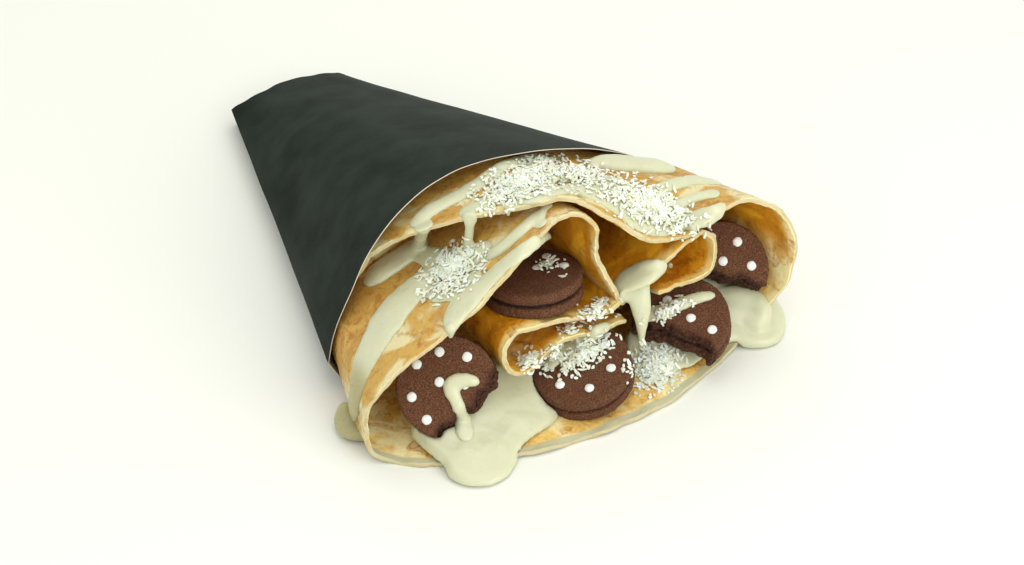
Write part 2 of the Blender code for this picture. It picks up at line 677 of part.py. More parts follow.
def shred(place, normal, turn, length, surface):
    """One shred of coconut, lying on a surface with one end a little up."""
    along = normal.orthogonal().normalized()
    along = (Matrix.Rotation(turn, 3, normal) @ along).normalized()
    across = normal.cross(along)
    half = length / 2
    corners = [
        place + along * (half * x) + across * (SHRED_HALF_WIDTH * y)
        + normal * (SHRED_LIFT + SHRED_HALF_WIDTH * z + SHRED_TILT * x)
        for x in (-1, 1) for y in (-1, 1) for z in (-1, 1)
    ]
    faces = [(0, 1, 3, 2), (4, 6, 7, 5), (0, 4, 5, 1), (2, 3, 7, 6), (0, 2, 6, 4), (1, 5, 7, 3)]
    return mesh_object("shred", corners, faces, surface)


def scattered(tree, patches, surface, dice):
    """Shreds spread evenly over oval patches of the view."""
    made = []
    for a, b, reach, width, angle, count in patches:
        lean = Matrix.Rotation(math.radians(angle), 2)
        for number in range(count):
            far = math.sqrt((number + 0.5) / count)
            turn = number * GOLDEN_ANGLE
            step = lean @ Vector((far * math.cos(turn) * reach, far * math.sin(turn) * width))
            hit = on_surface(tree, a + step.x, b + step.y)
            if hit:
                length = dice.uniform(*SHRED_LENGTHS)
                made.append(shred(*hit, dice.uniform(0, math.pi), length, surface))
    return made


def dot(place, normal, surface):
    """A round sugar dot, sunk a little into the biscuit."""
    frame = cookie_frame(place, normal)
    profile = [(DOT_RADIUS * share, height) for share, height in DOT_PROFILE]
    points, faces = turned(profile, DOT_SIDES)
    return mesh_object("dot", [frame @ point for point in points], faces, surface)


def mound(name, middle, outline, rise, surface):
    """A pool of cream: a low dome over an outline of (x, y, foot height); rise gives its top."""
    rings = []
    outline = smooth_line([*outline, outline[0]], POOL_STEPS)[:-1]
    centre = Vector((*middle, 0))
    for scale, share in POOL_RINGS:
        ring = []
        for x, y, foot in outline:
            foot = max(foot, 0.0)
            place = centre.lerp(Vector((x, y, 0)), scale)
            place.z = foot + max(rise(place.y, place.x) - foot, POOL_LEAST_HEIGHT) * share
            ring.append(place)
        rings.append(ring)
    return loft(name, rings, surface)


def largest_part(piece):
    """Keeps the largest of a mesh's separate parts."""
    build = bmesh.new()
    build.from_mesh(piece.data)
    left, parts = set(build.verts), []
    while left:
        found, queue = set(), [left.pop()]
        while queue:
            corner = queue.pop()
            found.add(corner)
            for edge in corner.link_edges:
                other = edge.other_vert(corner)
                if other in left:
                    left.discard(other)
                    queue.append(other)
        parts.append(found)
    parts.sort(key=len)
    for part in parts[:-1]:
        bmesh.ops.delete(build, geom=list(part), context="VERTS")
    build.to_mesh(piece.data)
    build.free()


def cookie(name, centre, normal, line, biscuit, filling):
    """The two biscuits and the filling of one cookie, with its broken side cut away."""
    frame = cookie_frame(centre, normal)
    inner = FILLING_THICKNESS / 2
    seat = inner + GAP
    top = disc(f"cookie_{name}_top", frame, COOKIE_RADIUS, seat, FACE_HEIGHT, biscuit)
    base = disc(f"cookie_{name}_base", frame, COOKIE_RADIUS, -FACE_HEIGHT, -seat, biscuit)
    profile = [(0, -inner), (FILLING_RADIUS, -inner), (FILLING_RADIUS, inner), (0, inner)]
    points, faces = turned(profile, COOKIE_SEGMENTS)
    points = [frame @ point for point in points]
    middle = mesh_object(f"cookie_{name}_filling", points, faces, filling)
    for piece, shift in ((top, 0.0), (middle, FILLING_SHIFT), (base, BASE_SHIFT)):
        break_off(piece, frame, line, shift)
    return top


def dress_cookie(top, name, cream):
    """Sugar dots, shreds and cream on a cookie's face."""
    tree = tree_of(top)
    centre, normal, _ = COOKIES[name]
    frame = cookie_frame(centre, normal)
    up = frame.to_3x3() @ Vector((0, 0, 1))
    pieces = [dot(frame @ Vector((x, y, FACE_HEIGHT)), up, cream) for x, y in DOTS[name]]
    for x, y, turn in SHREDS.get(name, []):
        place = frame @ Vector((x, y, FACE_HEIGHT))
        pieces.append(shred(place, up, turn, SHRED_LENGTH, cream))
    for path in COOKIE_STRIPES.get(name, []):
        pieces.append(stripe(tree, "stripe", path, COOKIE_STRIPE_HEIGHT, cream))
    boolean(top, pieces, "UNION")


def lobe_rise(*_):
    """The lobe on the table is as high all over."""
    return LOBE_HEIGHT


def front_rise(y, _):
    """The front pool rises towards the inside of the mouth and sinks towards its tongue."""
    rise = FRONT_RISE * clamp((y - FRONT_RISE_Y) / FRONT_RISE_LENGTH)
    return FRONT_HEIGHT + rise - FRONT_FALL * clamp((FRONT_FALL_Y - y) / FRONT_FALL_LENGTH)


def right_rise(y, x):
    """The right pool rises towards the inside of the mouth and towards the right fold."""
    across = clamp((x - RIGHT_LEFT_X) / RIGHT_LEFT_WIDTH)
    share = RIGHT_LEFT_SHARE + (1 - RIGHT_LEFT_SHARE) * across
    return RIGHT_HEIGHT + RIGHT_RISE * clamp((y - RIGHT_RISE_Y) / RIGHT_RISE_LENGTH) * share


def pools(cream, dice):
    """The two cream pools in the mouth, each running over the rim and on to the table."""
    for name, middle, outline, rise, patches in (
        ("cream_pool_front", FRONT_MIDDLE, FRONT_POOL, front_rise, []),
        ("cream_pool_right", RIGHT_MIDDLE, RIGHT_POOL, right_rise, POOL_PATCH),
    ):
        pool = mound(name, middle, outline, rise, cream)
        for rim, apex in ((WRAP, APEX), (TUBE, TUBE_APEX), (SCOOP, TUBE_APEX)):
            boolean(pool, [sheet("cutter", rim, apex, cream, GAP)], "DIFFERENCE")
        for centre, normal, line in COOKIES.values():
            boolean(pool, [nest(centre, normal, line, cream)], "DIFFERENCE")
        largest_part(pool)
        if patches:
            boolean(pool, scattered(tree_of(pool), patches, cream, dice), "UNION", "MANIFOLD")
            boolean(pool, [sheet("cutter", WRAP, APEX, cream, GAP)], "DIFFERENCE", "MANIFOLD")
            largest_part(pool)


def crepe_node(crepe, cream, dice):
    """The folded crepe with the cream and coconut that lie on it, and the cookies' nests."""
    folded = sheet("crepe", WRAP, APEX, crepe)
    pieces = [
        sheet("tube", TUBE, TUBE_APEX, crepe),
        sheet("scoop", SCOOP, TUBE_APEX, crepe),
        core(crepe),
    ]
    boolean(folded, pieces, "UNION")
    tree = tree_of(folded)
    toppings = [stripe(tree, "stripe", path, height, cream) for path, height in STRIPES]
    for low, high, half in STRANDS:
        start, end = on_surface(tree, *low)[0], on_surface(tree, *high)[0]
        way = (end - start).normalized() * STRAND_OVERLAP
        path = [start - way, *(start.lerp(end, share) for share in STRAND_SHARES), end + way]
        toppings.append(hanging(path, [half * flare for flare in STRAND_FLARES], cream))
    toppings.append(hanging(DRIP, DRIP_WIDTHS, cream))
    toppings.append(mound("lobe", LOBE_MIDDLE, LOBE, lobe_rise, cream))
    boolean(folded, toppings, "UNION")
    boolean(folded, scattered(tree_of(folded), PATCHES, cream, dice), "UNION", "MANIFOLD")
    for centre, normal, line in COOKIES.values():
        boolean(folded, [nest(centre, normal, line, crepe)], "DIFFERENCE")
    largest_part(folded)


def build():
    clear_scene()
    dice = random.Random(SEED)
    crepe, paper, cream, biscuit, filling = (material(name, *look) for name, look in LOOKS.items())
    crepe_node(crepe, cream, dice)
    sleeve(paper)
    pools(cream, dice)
    for name, (centre, normal, line) in COOKIES.items():
        top = cookie(name, centre, normal, line, biscuit, filling)
        dress_cookie(top, name, cream)
    for piece in bpy.context.scene.objects:
        piece.data.transform(Matrix.Translation(-ORIGIN * MM))


build()
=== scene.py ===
"""Folded crepe in a paper cone: the looks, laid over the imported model. The tables are in millimetres."""

import json
import math
import random

import bpy
from mathutils import Matrix, Vector, noise
from mathutils.bvhtree import BVHTree

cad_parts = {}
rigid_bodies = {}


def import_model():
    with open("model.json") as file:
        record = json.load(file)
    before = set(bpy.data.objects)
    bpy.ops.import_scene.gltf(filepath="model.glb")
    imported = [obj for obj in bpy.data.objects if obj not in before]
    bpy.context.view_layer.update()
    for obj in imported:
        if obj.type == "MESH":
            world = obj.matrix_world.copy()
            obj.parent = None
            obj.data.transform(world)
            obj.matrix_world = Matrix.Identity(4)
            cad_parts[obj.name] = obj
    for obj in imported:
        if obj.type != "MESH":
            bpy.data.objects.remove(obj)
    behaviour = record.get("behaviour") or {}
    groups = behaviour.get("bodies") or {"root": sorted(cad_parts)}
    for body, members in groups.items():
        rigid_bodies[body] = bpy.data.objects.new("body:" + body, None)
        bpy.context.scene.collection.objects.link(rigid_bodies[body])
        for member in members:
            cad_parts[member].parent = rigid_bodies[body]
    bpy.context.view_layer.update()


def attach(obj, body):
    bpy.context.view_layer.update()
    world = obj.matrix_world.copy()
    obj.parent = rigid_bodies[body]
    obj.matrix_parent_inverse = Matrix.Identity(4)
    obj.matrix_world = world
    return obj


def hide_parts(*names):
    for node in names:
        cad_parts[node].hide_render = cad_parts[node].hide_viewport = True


MM = 0.001
SEED = 11

# The tables below are measured from the middle of the mouth; the model's origin lies here in them
ORIGIN = Vector((4.66, 21, 0))

# The view: where the camera looks, from how far, and how long its lens is
VIEW_AZIMUTH = math.radians(-32)
VIEW_ELEVATION = math.radians(39)
VIEW_DISTANCE = 1160
VIEW_TARGET = Vector((-2, -42, 30))
VIEW_LENS = 98.44
VIEW_SENSOR = 36
VIEW_RIGHT = Vector((math.cos(VIEW_AZIMUTH), math.sin(VIEW_AZIMUTH), 0))
VIEW_AWAY = Vector((
    math.sin(VIEW_AZIMUTH) * math.cos(VIEW_ELEVATION),
    -math.cos(VIEW_AZIMUTH) * math.cos(VIEW_ELEVATION),
    math.sin(VIEW_ELEVATION),
))
VIEW_UP = VIEW_AWAY.cross(VIEW_RIGHT)

# Where the folds of the crepe run to, far behind the mouth
APEX = (0, 253, 12)
TUBE_APEX = (0, 253, -25)
CREPE_THICKNESS = 2.1
SHEET_CLEAR = 3.2
CORE_CLEAR = 1.5
# How far behind the rim each row of a sheet lies
ROW_DEPTHS = (0.5, 1.1, 2, 3.2, 5, 7.2, 10, 13, 16.5, 20, 24, 28, 32.5, 37, 42, 47, 53, 60, 68, 77, 87)
RIM_STEPS = 7
# Waves along the rim: how many in a metre and how high, how far in they reach, and how far it is wrinkled
RIM_WAVES = ((90, 1.6), (260, 0.7))
RIM_WAVE_REACH = 25
NEAR_RIM = 12
# The valley in the top layer gets shallower behind its rim: it is filled up towards this line
VALLEY_LEFT, VALLEY_RIGHT = (16, 82), (78, 71)
VALLEY_START_X = 19
VALLEY_SIDE = 4
VALLEY_LEAST_Z = 61
VALLEY_FILL = 0.9
VALLEY_DEPTHS = (6, 26)

WRAP = [
    (-69, -22, 40), (-62, -26, 56), (-55, -30, 63), (-41, -40, 73), (-22, -52, 80), (-8, -60, 84),
    (3, -66, 86), (11, -71, 85.5), (20, -76, 79), (30, -80, 70), (40, -84, 63), (50, -88, 62),
    (60, -89, 66), (72, -90, 70.5), (85, -92, 69), (96, -95, 60), (101, -98, 46), (100, -98, 30),
    (95, -95, 14), (86, -93, 4), (72, -99, 1.4), (50, -107, 1.4), (25, -112.5, 1.4),
    (0, -113.3, 1.4), (-25, -110.5, 1.4), (-50, -104, 1.4), (-72, -93, 1.4), (-85, -82, 1.8),
    (-90.5, -77, 6), (-91.5, -76, 16), (-90, -77, 29), (-83, -79, 38), (-66, -80, 49),
    (-50, -80, 56), (-33, -79, 64), (-20, -77, 73), (-8, -74, 79), (3, -72, 82), (11, -73, 80.5),
    (16, -75, 75.5), (17, -76, 69), (16, -78, 62), (18, -80, 52), (22, -84, 42), (25, -85, 36),
]
TUBE = [
    (25, -85.5, 39.5), (18, -85, 36.8), (5, -84, 38.5), (-8, -84, 40.5), (-20, -84, 43),
    (-28, -85, 43), (-33, -86, 38), (-32, -87, 30), (-25, -88, 25), (-16, -88, 27.5),
    (-8, -87, 30.5), (4, -86, 29), (16, -86, 28), (26, -86, 28),
]
SCOOP = [
    (20, -83.5, 37), (27, -85, 42), (35, -86, 46), (43, -86, 51), (51, -87, 56.5), (58, -87, 60),
    (65, -87, 57), (68.5, -87, 48), (66, -87.5, 39), (57, -88, 37.5), (47, -89, 39), (38, -90, 40),
]
# The paper cone at its mouth and at its flat far end, from the left crease over the top
MOUTH = [
    (-83, -30, 14), (-80, -30, 28), (-72, -30, 45), (-60, -30, 66), (-42, -28, 79),
    (-24, -26, 83.5), (-9, -25, 83.5), (14, -25, 80), (34, -26, 75), (53, -28, 68),
    (72, -30, 56), (85, -30, 38), (89, -30, 14), (83, -33, 0), (42, -38, 0), (0, -40, 0),
    (-42, -38, 0), (-76, -32, 0),
]
FAR_END = [
    (-31, 156, 9), (-29, 156, 10), (-24, 156, 11), (-18, 157, 11.8), (-12, 157, 12.4),
    (-6, 158, 12.8), (0, 158, 12.8), (6, 158, 12.4), (12, 157, 11.8), (18, 157, 11),
    (23, 156, 10), (26, 156, 9), (28, 155, 8), (26, 156, 0), (13, 157, 0), (0, 158, 0),
    (-13, 157, 0), (-28, 156, 0),
]
MOUTH_Y, MOUTH_MIDDLE = -30, 30
END_Y, END_MIDDLE = 157, 6
PAPER_CORNERS = (12, 13, 17, 0)
PAPER_STEPS = 8
PAPER_ROWS = 24
PAPER_SHARP = math.radians(40)
PAPER_THICKNESS = 0.35
# How far in front of the paper's mouth the sheet is drawn in, and how far behind it the paper is felt
RIM_SHARE = -0.02
RIM_REACH = 5
# Front of the folded mass inside the cone, from the lower left over the top
CORE_FRONT_Y = -14
CORE_FRONT = [
    (-71, 14), (-68, 27), (-62, 41), (-52, 52), (-39, 59), (-22, 64), (-7, 66), (10, 62), (24, 53),
    (42, 49), (60, 50), (71, 40), (71, 16), (64, 4), (40, 2.6), (0, 2.4), (-40, 2.6), (-66, 4),
]
# Its front is set in twice, and it gets smaller towards the far end in rows
CORE_STEPS = 6
CORE_INSETS = (6, 8)
CORE_ROWS = 6
CORE_ROW_SHARE = 0.93
CORE_GRAIN = 1.6

# Centre, face normal and break line, in the face's own right and up directions, of each cookie
COOKIES = {
    "left": ((-55, -78, 24), (-0.41, -0.66, 0.63),
             [(24, 9), (18.5, 5), (18, 0.5), (13.5, -3), (11.5, -8.5), (6, -10.5), (3.5, -15),
              (-2, -17), (-4, -24)]),
    "shelf": ((-5, -62.5, 45), (0.05, 0.16, 0.98), []),
    "front": ((3, -89, 12.8), (-0.25, -0.1, 0.96), []),
    "right": ((50, -90.5, 18.5), (-0.3, -0.25, 0.92),
              [(-24, 3), (-15, 0), (-12.5, -2.8), (-8.5, -2.4), (-5, -4.2), (-1, -6.8), (3.4, -8.6),
               (7.5, -10.2), (10.3, -12.2), (12, -15.5), (14, -24)]),
    "far": ((75.7, -79.9, 29.6), (-0.35, -0.75, 0.55),
            [(-10, 24), (-9, 14), (-11, 5), (-9, -2.5), (-4, -1), (3, -4.5), (9, -3.5), (14, -7),
             (24, -8.5)]),
}
COOKIE_RADIUS = 20.6
BISCUIT_THICKNESS = 4.3
FILLING_THICKNESS = 1.5
FILLING_RADIUS = 18.6
COOKIE_GAP = 0.35
FACE_HEIGHT = FILLING_THICKNESS / 2 + COOKIE_GAP + BISCUIT_THICKNESS
# How round the edges are, how far each break lies from the line, and how fine the surface is
BISCUIT_EDGE = 1.1
FILLING_EDGE = 0.4
BASE_SHIFT = 0.6
FILLING_SHIFT = -0.8
COOKIE_GRAIN = 0.5
CUTTER_GRAIN = 0.8
DISC_SIDES = 72
EDGE_STEPS = 4
# A distance in metres that counts as none
TINY = 1e-6
# The cutter that breaks a cookie: half its height and how far out it reaches
CUTTER_HALF = 12
CUTTER_REACH = 40
# How much the broken side leans back towards the face
BREAK_LEAN = 0.36
# How far from its break line a biscuit is crumbly, and over what width that fades out
BROKEN_REACH = 3.6
BROKEN_FADE = 2.4
DOTS = {
    "left": [(-12, 9), (-3, 14), (8, 12), (-14, -4), (-3, 2), (7, 1), (-8, -13)],
    "shelf": [(6, 12), (13, 4), (2, 3)],
    "front": [(-9, -9), (3, -12), (12, -3), (-2, 12), (10, 9)],
    "right": [(4.5, 0), (-5, 9), (8, 10), (13, -6)],
    "far": [(-4, 14), (7, 12), (1, 4), (13, 2)],
}
DOT_RADIUS = 2.1
DOT_HEIGHT = 1.0
DOT_LIFT = 0.1

# Cream, as (right, up, half width) in the view's plane, with its height over what it lies on
STRIPES = [
    ([(-40.6, 23.8, 2.5), (-36.5, 27.5, 2.9), (-31.5, 30.9, 3.3), (-22.4, 35.4, 3.3),
      (-13.3, 40.8, 3.1), (-5.4, 46.6, 2.9), (3.3, 50.3, 2.9), (13.7, 51.6, 3.3)], 1.8),
    ([(-58.4, 1, 3.7), (-54.3, 4.3, 5), (-48.1, 8.5, 5), (-41.8, 12.6, 4.6),
      (-37.3, 16.4, 3.3)], 2.6),
    ([(-20.7, 28.4, 2.5), (-14.1, 31.7, 2.9), (-7.5, 34.2, 2.9), (0, 35.4, 2.9), (8.3, 34.2, 2.9),
      (14.9, 36.8, 3), (22.4, 38, 3.2), (30.2, 37.3, 3.4), (38.9, 33.8, 3.6), (48.5, 27, 3.8),
      (56, 22, 3.6), (63, 20.8, 3.2), (70, 22.3, 2.8)], 1.6),
    ([(-32.3, 5.2, 3.3), (-38.5, -1.4, 5.4), (-46, -8.5, 6.6), (-51.8, -16.4, 7),
      (-57.2, -25.5, 6.2), (-61.3, -34.6, 5), (-63.8, -42.9, 4.1), (-65, -50.3, 3.7),
      (-66.3, -55.3, 3.3)], 2.2),
    ([(12, 28.8, 2.9), (6.6, 23.8, 2.5), (0.8, 18.4, 2.5), (-5, 13.5, 2.5),
      (-10.8, 10.6, 2.1)], 1.8),
    ([(16.2, 21.3, 1.7), (10.8, 17.6, 2.5), (3.3, 11.8, 3.3), (-3.3, 6.8, 3.3), (-9.1, 1, 3.7),
      (-14.9, -3.9, 4.6), (-20.3, -9.3, 5), (-24, -15.1, 3.7), (-25.7, -20.1, 1.9)], 1.8),
    ([(31.5, 48.9, 2.9), (40.6, 48.9, 4.1), (48.9, 48, 4.6), (57.2, 47.4, 4.6),
      (64.2, 46.6, 3.7)], 4),
    ([(-3, 38.5, 4.5), (5, 42, 6), (14, 44.5, 6), (22, 44.5, 5), (30, 43, 5), (38, 40, 5),
      (46, 36, 6), (54, 32, 6.5), (62, 28.5, 6), (70, 27, 4.5)], 1.3),
    ([(36.5, 43.3, 2.9), (43.9, 40.4, 3.3), (50.5, 36.7, 2.9)], 1.6),
    ([(53, 35, 2.5), (62.1, 38.7, 2.5), (72.5, 41.6, 2.7), (82, 42.5, 3.1), (87.8, 40, 2.9)], 2),
    ([(61.3, 29.2, 2.5), (67.9, 31.7, 2.3), (76.2, 35, 2.1), (85.3, 37.1, 2.5)], 1.8),
    ([(63.8, 23.4, 2.5), (71.3, 25.1, 3.5), (77.9, 26.3, 3.9), (84.1, 28.8, 3.3),
      (87.4, 32.1, 2.1)], 2.2),
    ([(44.8, -1.6, 3.2), (49, 1, 5.4), (54, 3.2, 5.6), (59, 5.5, 4), (62.8, 7.4, 2.4)], 2.2),
    ([(46.5, -5.5, 3), (50.5, -3.5, 4.6), (55.5, -0.5, 4.2)], 2.2),
    ([(-40, 13, 3), (-33, 10, 4.5), (-25, 9, 5), (-16, 11, 4.5), (-9, 15, 3)], 1.6),
    ([(-34, -3, 3.5), (-27, -4, 5), (-20, -1.5, 4.5), (-14, 3, 3)], 1.5),
]
COOKIE_STRIPES = [
    ([(-14, -41.5, 1.6), (-17.5, -40.4, 2.6), (-22, -40.8, 3.4), (-25.6, -43, 3.2),
      (-24.2, -46.8, 2.9), (-22.2, -51, 2.7), (-20.8, -56, 3), (-19.8, -61, 3.5),
      (-19, -65, 2.4)], 2.1),
    ([(14.1, -35.4, 2.5), (18.6, -30.9, 3.3), (26.5, -25.1, 3.5), (34.8, -20.1, 2.9),
      (41, -17.6, 1.7)], 1.7),
    ([(52.5, -13.5, 3), (57, -13.5, 3.2), (62.6, -12, 3.2), (70.4, -8.8, 3), (77.9, -6.2, 2.5),
      (84.5, -5.2, 1.7)], 1.7),
]
# Strands over the slit between two layers: start, end and half width
STRANDS = [
    ((-39, 14.5), (-36.5, 23.5), 2.7), ((-18.2, 14.5), (-17.4, 26.5), 2),
    ((11.8, 24.5), (14.0, 31.5), 1.9),
]
# How many steps a strand has, how much wider and how much flatter its ends are, and how suddenly
STRAND_STEPS = 24
STRAND_FLARE = 0.7
STRAND_HEIGHT = 1.3
STRAND_FLATTER = 0.5
STRAND_SUDDEN = 5
# Drips that hang from an edge: where they start in the view, their length and their half width
HANGING = [
    (-1.5, 31, 3.5, 1.7), (56.5, 21.5, 4, 1.9), (75.5, 22.5, 3.5, 1.9), (81.5, 23.5, 5, 1.8),
    (-25.5, -19, 4, 2.2), (65.5, 6.5, 3.5, 1.5),
]
DRIP_STEPS = 7
DRIP_TAPER = 0.45
DRIP_HEIGHT = 1.6
DRIP_FLATTER = 0.4
# The stream from the scoop down to its tip: place and half width
STREAM = [
    (31, -85.5, 43.5, 5.2), (30.5, -87.5, 40, 4.8), (30.5, -89, 35.5, 4.4), (30, -90.5, 30, 3),
    (29.5, -91.5, 24, 1.8), (29, -92.5, 18, 1.1),
]
STREAM_STEPS = 8
STREAM_HEIGHT = 1.9
# Cream heaped on the right pool, along the wall and over its rim: place and half width
HEAP = [
    (76, -80, 12.5, 6), (83, -84.5, 13.5, 6.3), (88, -89, 13, 5.6), (89.5, -93.5, 11, 4.6),
    (86, -95, 7.5, 5.5), (83, -91, 8.5, 6.5), (78, -87, 10, 6.5),
]
HEAP_HEIGHT = 4
HEAP_STEPS = 5
# The cream that has run down to the table at the left: place and half width
LOBE = [(-88, -52, 7.5, 3.2), (-87, -54, 3.5, 6.5), (-88.5, -59, 3.5, 6.5), (-87, -63, 3.5, 4.5)]
LOBE_HEIGHT = 3.4
LOBE_STEPS = 5
# The round drop that cream is made of, how fine its surfaces are, and the least drop
DROP_SIDES = 16
DROP_RINGS = 10
CREAM_GRAIN = 0.6
POOL_GRAIN = 0.8
LEAST_DROP = 0.3
# Steps between two points of a stripe, its uneven width, its lift, and how flat its ends are
STRIPE_STEPS = 10
STRIPE_WIDTHS = (0.93, 1.1)
STRIPE_LIFT = 0.2
STRIPE_END = 0.45
# Over how many drops a stripe's places are evened out, and its ends get flatter
STRIPE_EVENING = 5
STRIPE_TAPER = 9
# A stripe seen at a slant is widened as if its slant were at least this
LEAST_SLANT = 0.45
# Coconut: middle, half length, half width, turn in degrees and count of each patch
PATCHES = [
    (3.3, 40.4, 17, 7.5, 20, 1000), (-24.4, 4.4, 13, 8, 40, 760), (56.3, 32.1, 20, 8, -22, 1000),
    (29, 44, 12, 6, -15, 380), (29.4, -30.5, 13, 5.5, 30, 420), (7.5, -32.9, 6, 4.5, 0, 160),
    (59.2, -35.4, 10, 9, 35, 800), (64.6, -11.8, 9, 3.2, 25, 90), (14.9, 6.8, 8, 4, 0, 40),
    (34.4, -12.2, 9, 6, 20, 110), (24, -20.5, 4, 4, 0, 50), (17, -29, 6, 3, 20, 60),
    (11, 49, 8, 2.6, 5, 200),
]
# How far the shreds of a patch are spread, as shares of its half sizes, and how high they pile up
PATCH_SPREAD = 0.6
PATCH_REACH = 1.35
PILE_HEIGHT = 2.6
# One shred: its sizes and its shape; some of the shreds are short crumbs
CRUMB_SHARE = 0.4
CRUMB_LENGTHS = (0.8, 1.7)
SHRED_LENGTHS = (1.5, 4)
SHRED_WIDTHS = (0.35, 0.75)
SHRED_DEPTHS = (0.18, 0.4)
SHRED_BEND = 0.2
SHRED_BEND_MIDDLE = 0.4
SHRED_TWIST = 0.7
SHRED_TAPER = 0.45
SHRED_ROWS = 3
SHRED_LEAN = 0.5
SHRED_LIFT = 0.45

# Light: place, aim, size in metres and power in watts of the lamps above, in front and at the left
LAMPS = [
    ((0.1, -0.1, 1.0), (0, -0.05, 0.03), 0.8, 2.4),
    ((0.15, -1.0, 0.45), (0.02, -0.05, 0.03), 0.7, 4.8),
    ((-0.6, -0.5, 0.8), (0, -0.05, 0.03), 0.8, 0.8),
]
SKY_COLOUR = (1, 0.995, 0.97, 1)
SKY_STRENGTH = 1.05
FLOOR_SIZE = 6
FLOOR_DROP = 0.0002


def spot(point):
    """A place of the tables in metres of the model."""
    return (Vector(point) - ORIGIN) * MM


def begin():
    """Leaves edit mode and deselects everything."""
    if bpy.context.object and bpy.context.object.mode != "OBJECT":
        bpy.ops.object.mode_set(mode="OBJECT")
    bpy.ops.object.select_all(action="DESELECT")


def edit_all():
    """Goes to edit mode with everything selected."""
    bpy.ops.object.mode_set(mode="EDIT")
    bpy.ops.mesh.select_all(action="SELECT")


def even_normals():
    """Makes the selected faces look to one side, outwards if they are closed, and leaves edit mode."""
    bpy.ops.mesh.normals_make_consistent(inside=False)
    bpy.ops.object.mode_set(mode="OBJECT")


def finish_modifiers(piece, *steps):
    """Adds each modifier with its settings and applies it."""
    bpy.context.view_layer.objects.active = piece
    for kind, settings in steps:
        bpy.ops.object.modifier_add(type=kind)
        step = piece.modifiers[-1]
        for key, value in settings.items():
            setattr(step, key, value)
        bpy.ops.object.modifier_apply(modifier=step.name)


def curve_through(name, points, steps, corners=(), closed=False):
    """A line of edges through the points, rounded between them except at the corners."""
    begin()
    bpy.ops.curve.primitive_bezier_curve_add(location=(0, 0, 0))
    made = bpy.context.object
    made.name = name
    made.data.dimensions = "3D"
    made.data.resolution_u = steps
    line = made.data.splines[0]
    line.bezier_points.add(len(points) - 2)
    line.use_cyclic_u = closed
    for index, (knot, point) in enumerate(zip(line.bezier_points, points)):
        knot.co = spot(point)
        kind = "VECTOR" if index in corners else "AUTO"
        knot.handle_left_type = kind
        knot.handle_right_type = kind
    bpy.ops.object.convert(target="MESH")
    return bpy.context.object


def uneven(size, strength, group=""):
    """A Displace step that makes a surface uneven along its normals."""
    clouds = bpy.data.textures.new("unevenness", "CLOUDS")
    clouds.noise_scale = size * MM
    clouds.noise_depth = 2
    return ("DISPLACE", {
        "texture": clouds, "strength": strength * MM, "mid_level": 0.5, "texture_coords": "LOCAL",
        "vertex_group": group,
    })


def store(piece, name, values):
    """Keeps one number for each corner of the mesh, for the materials to read."""
    kept = piece.data.attributes.new(name, "FLOAT", "POINT")
    kept.data.foreach_set("value", values)


def clamp(value):
    return max(0.0, min(1.0, value))


def valley_rise(x, z):
    """How many millimetres the sheet rises behind this place of its rim."""
    (left, start), (right, end) = VALLEY_LEFT, VALLEY_RIGHT
    if z < VALLEY_LEAST_Z:
        return 0.0
    line = start + (end - start) * (x - left) / (right - left)
    side = clamp((x - VALLEY_START_X) / VALLEY_SIDE) * clamp((right - x) / VALLEY_SIDE)
    return max(0.0, line - z) * side * VALLEY_FILL


def rolled_sheet(name, rim, apex, finishes, cone):
    """A sheet of crepe: its rim drawn as a line, then pulled back in rows towards the apex."""
    piece = curve_through(name, rim, RIM_STEPS)
    count = len(piece.data.vertices)
    length = (spot(rim[len(rim) // 2]) - spot(apex)).length
    edit_all()
    left = 1.0
    for depth in ROW_DEPTHS:
        share = 1 - depth * MM / length
        bpy.ops.mesh.extrude_region_move()
        bpy.ops.transform.resize(value=[share / left] * 3, center_override=spot(apex))
        left = share
    bpy.ops.object.mode_set(mode="OBJECT")
    near_rim = piece.vertex_groups.new(name="near_rim")
    depths = [depth for depth in (0, *ROW_DEPTHS) for _ in range(count)]
    store(piece, "rim_depth", [depth * MM for depth in depths])
    for depth in set(depths):
        row = [index for index, other in enumerate(depths) if other == depth]
        near_rim.add(row, max(0.0, 1 - depth / NEAR_RIM), "REPLACE")
    front = [corner.co / MM + ORIGIN for corner in piece.data.vertices[:count]]
    rises = [valley_rise(place.x, place.z) for place in front]
    first, full = VALLEY_DEPTHS
    for index, (depth, corner) in enumerate(zip(depths, piece.data.vertices)):
        corner.co.z += rises[index % count] * clamp((depth - first) / (full - first)) * MM
        along = (corner.co - spot(apex)).normalized()
        wave = sum(noise.noise(corner.co * often) * height for often, height in RIM_WAVES)
        corner.co += along * (wave * MM * max(0.0, 1 - depth / RIM_WAVE_REACH))
    keep_inside(piece, cone, SHEET_CLEAR)
    for finish in finishes:
        piece.data.materials.append(finish)
    bpy.ops.object.select_all(action="DESELECT")
    piece.select_set(True)
    finish_modifiers(
        piece,
        uneven(size=26, strength=2.2),
        uneven(size=9, strength=2.4, group="near_rim"),
        ("SOLIDIFY", {"thickness": CREPE_THICKNESS * MM, "offset": 0, "material_offset": 1,
                      "material_offset_rim": 2}),
        ("SUBSURF", {"levels": 1, "render_levels": 1}),
        uneven(size=2.2, strength=0.5),
    )
    bpy.ops.object.shade_smooth()
    return piece


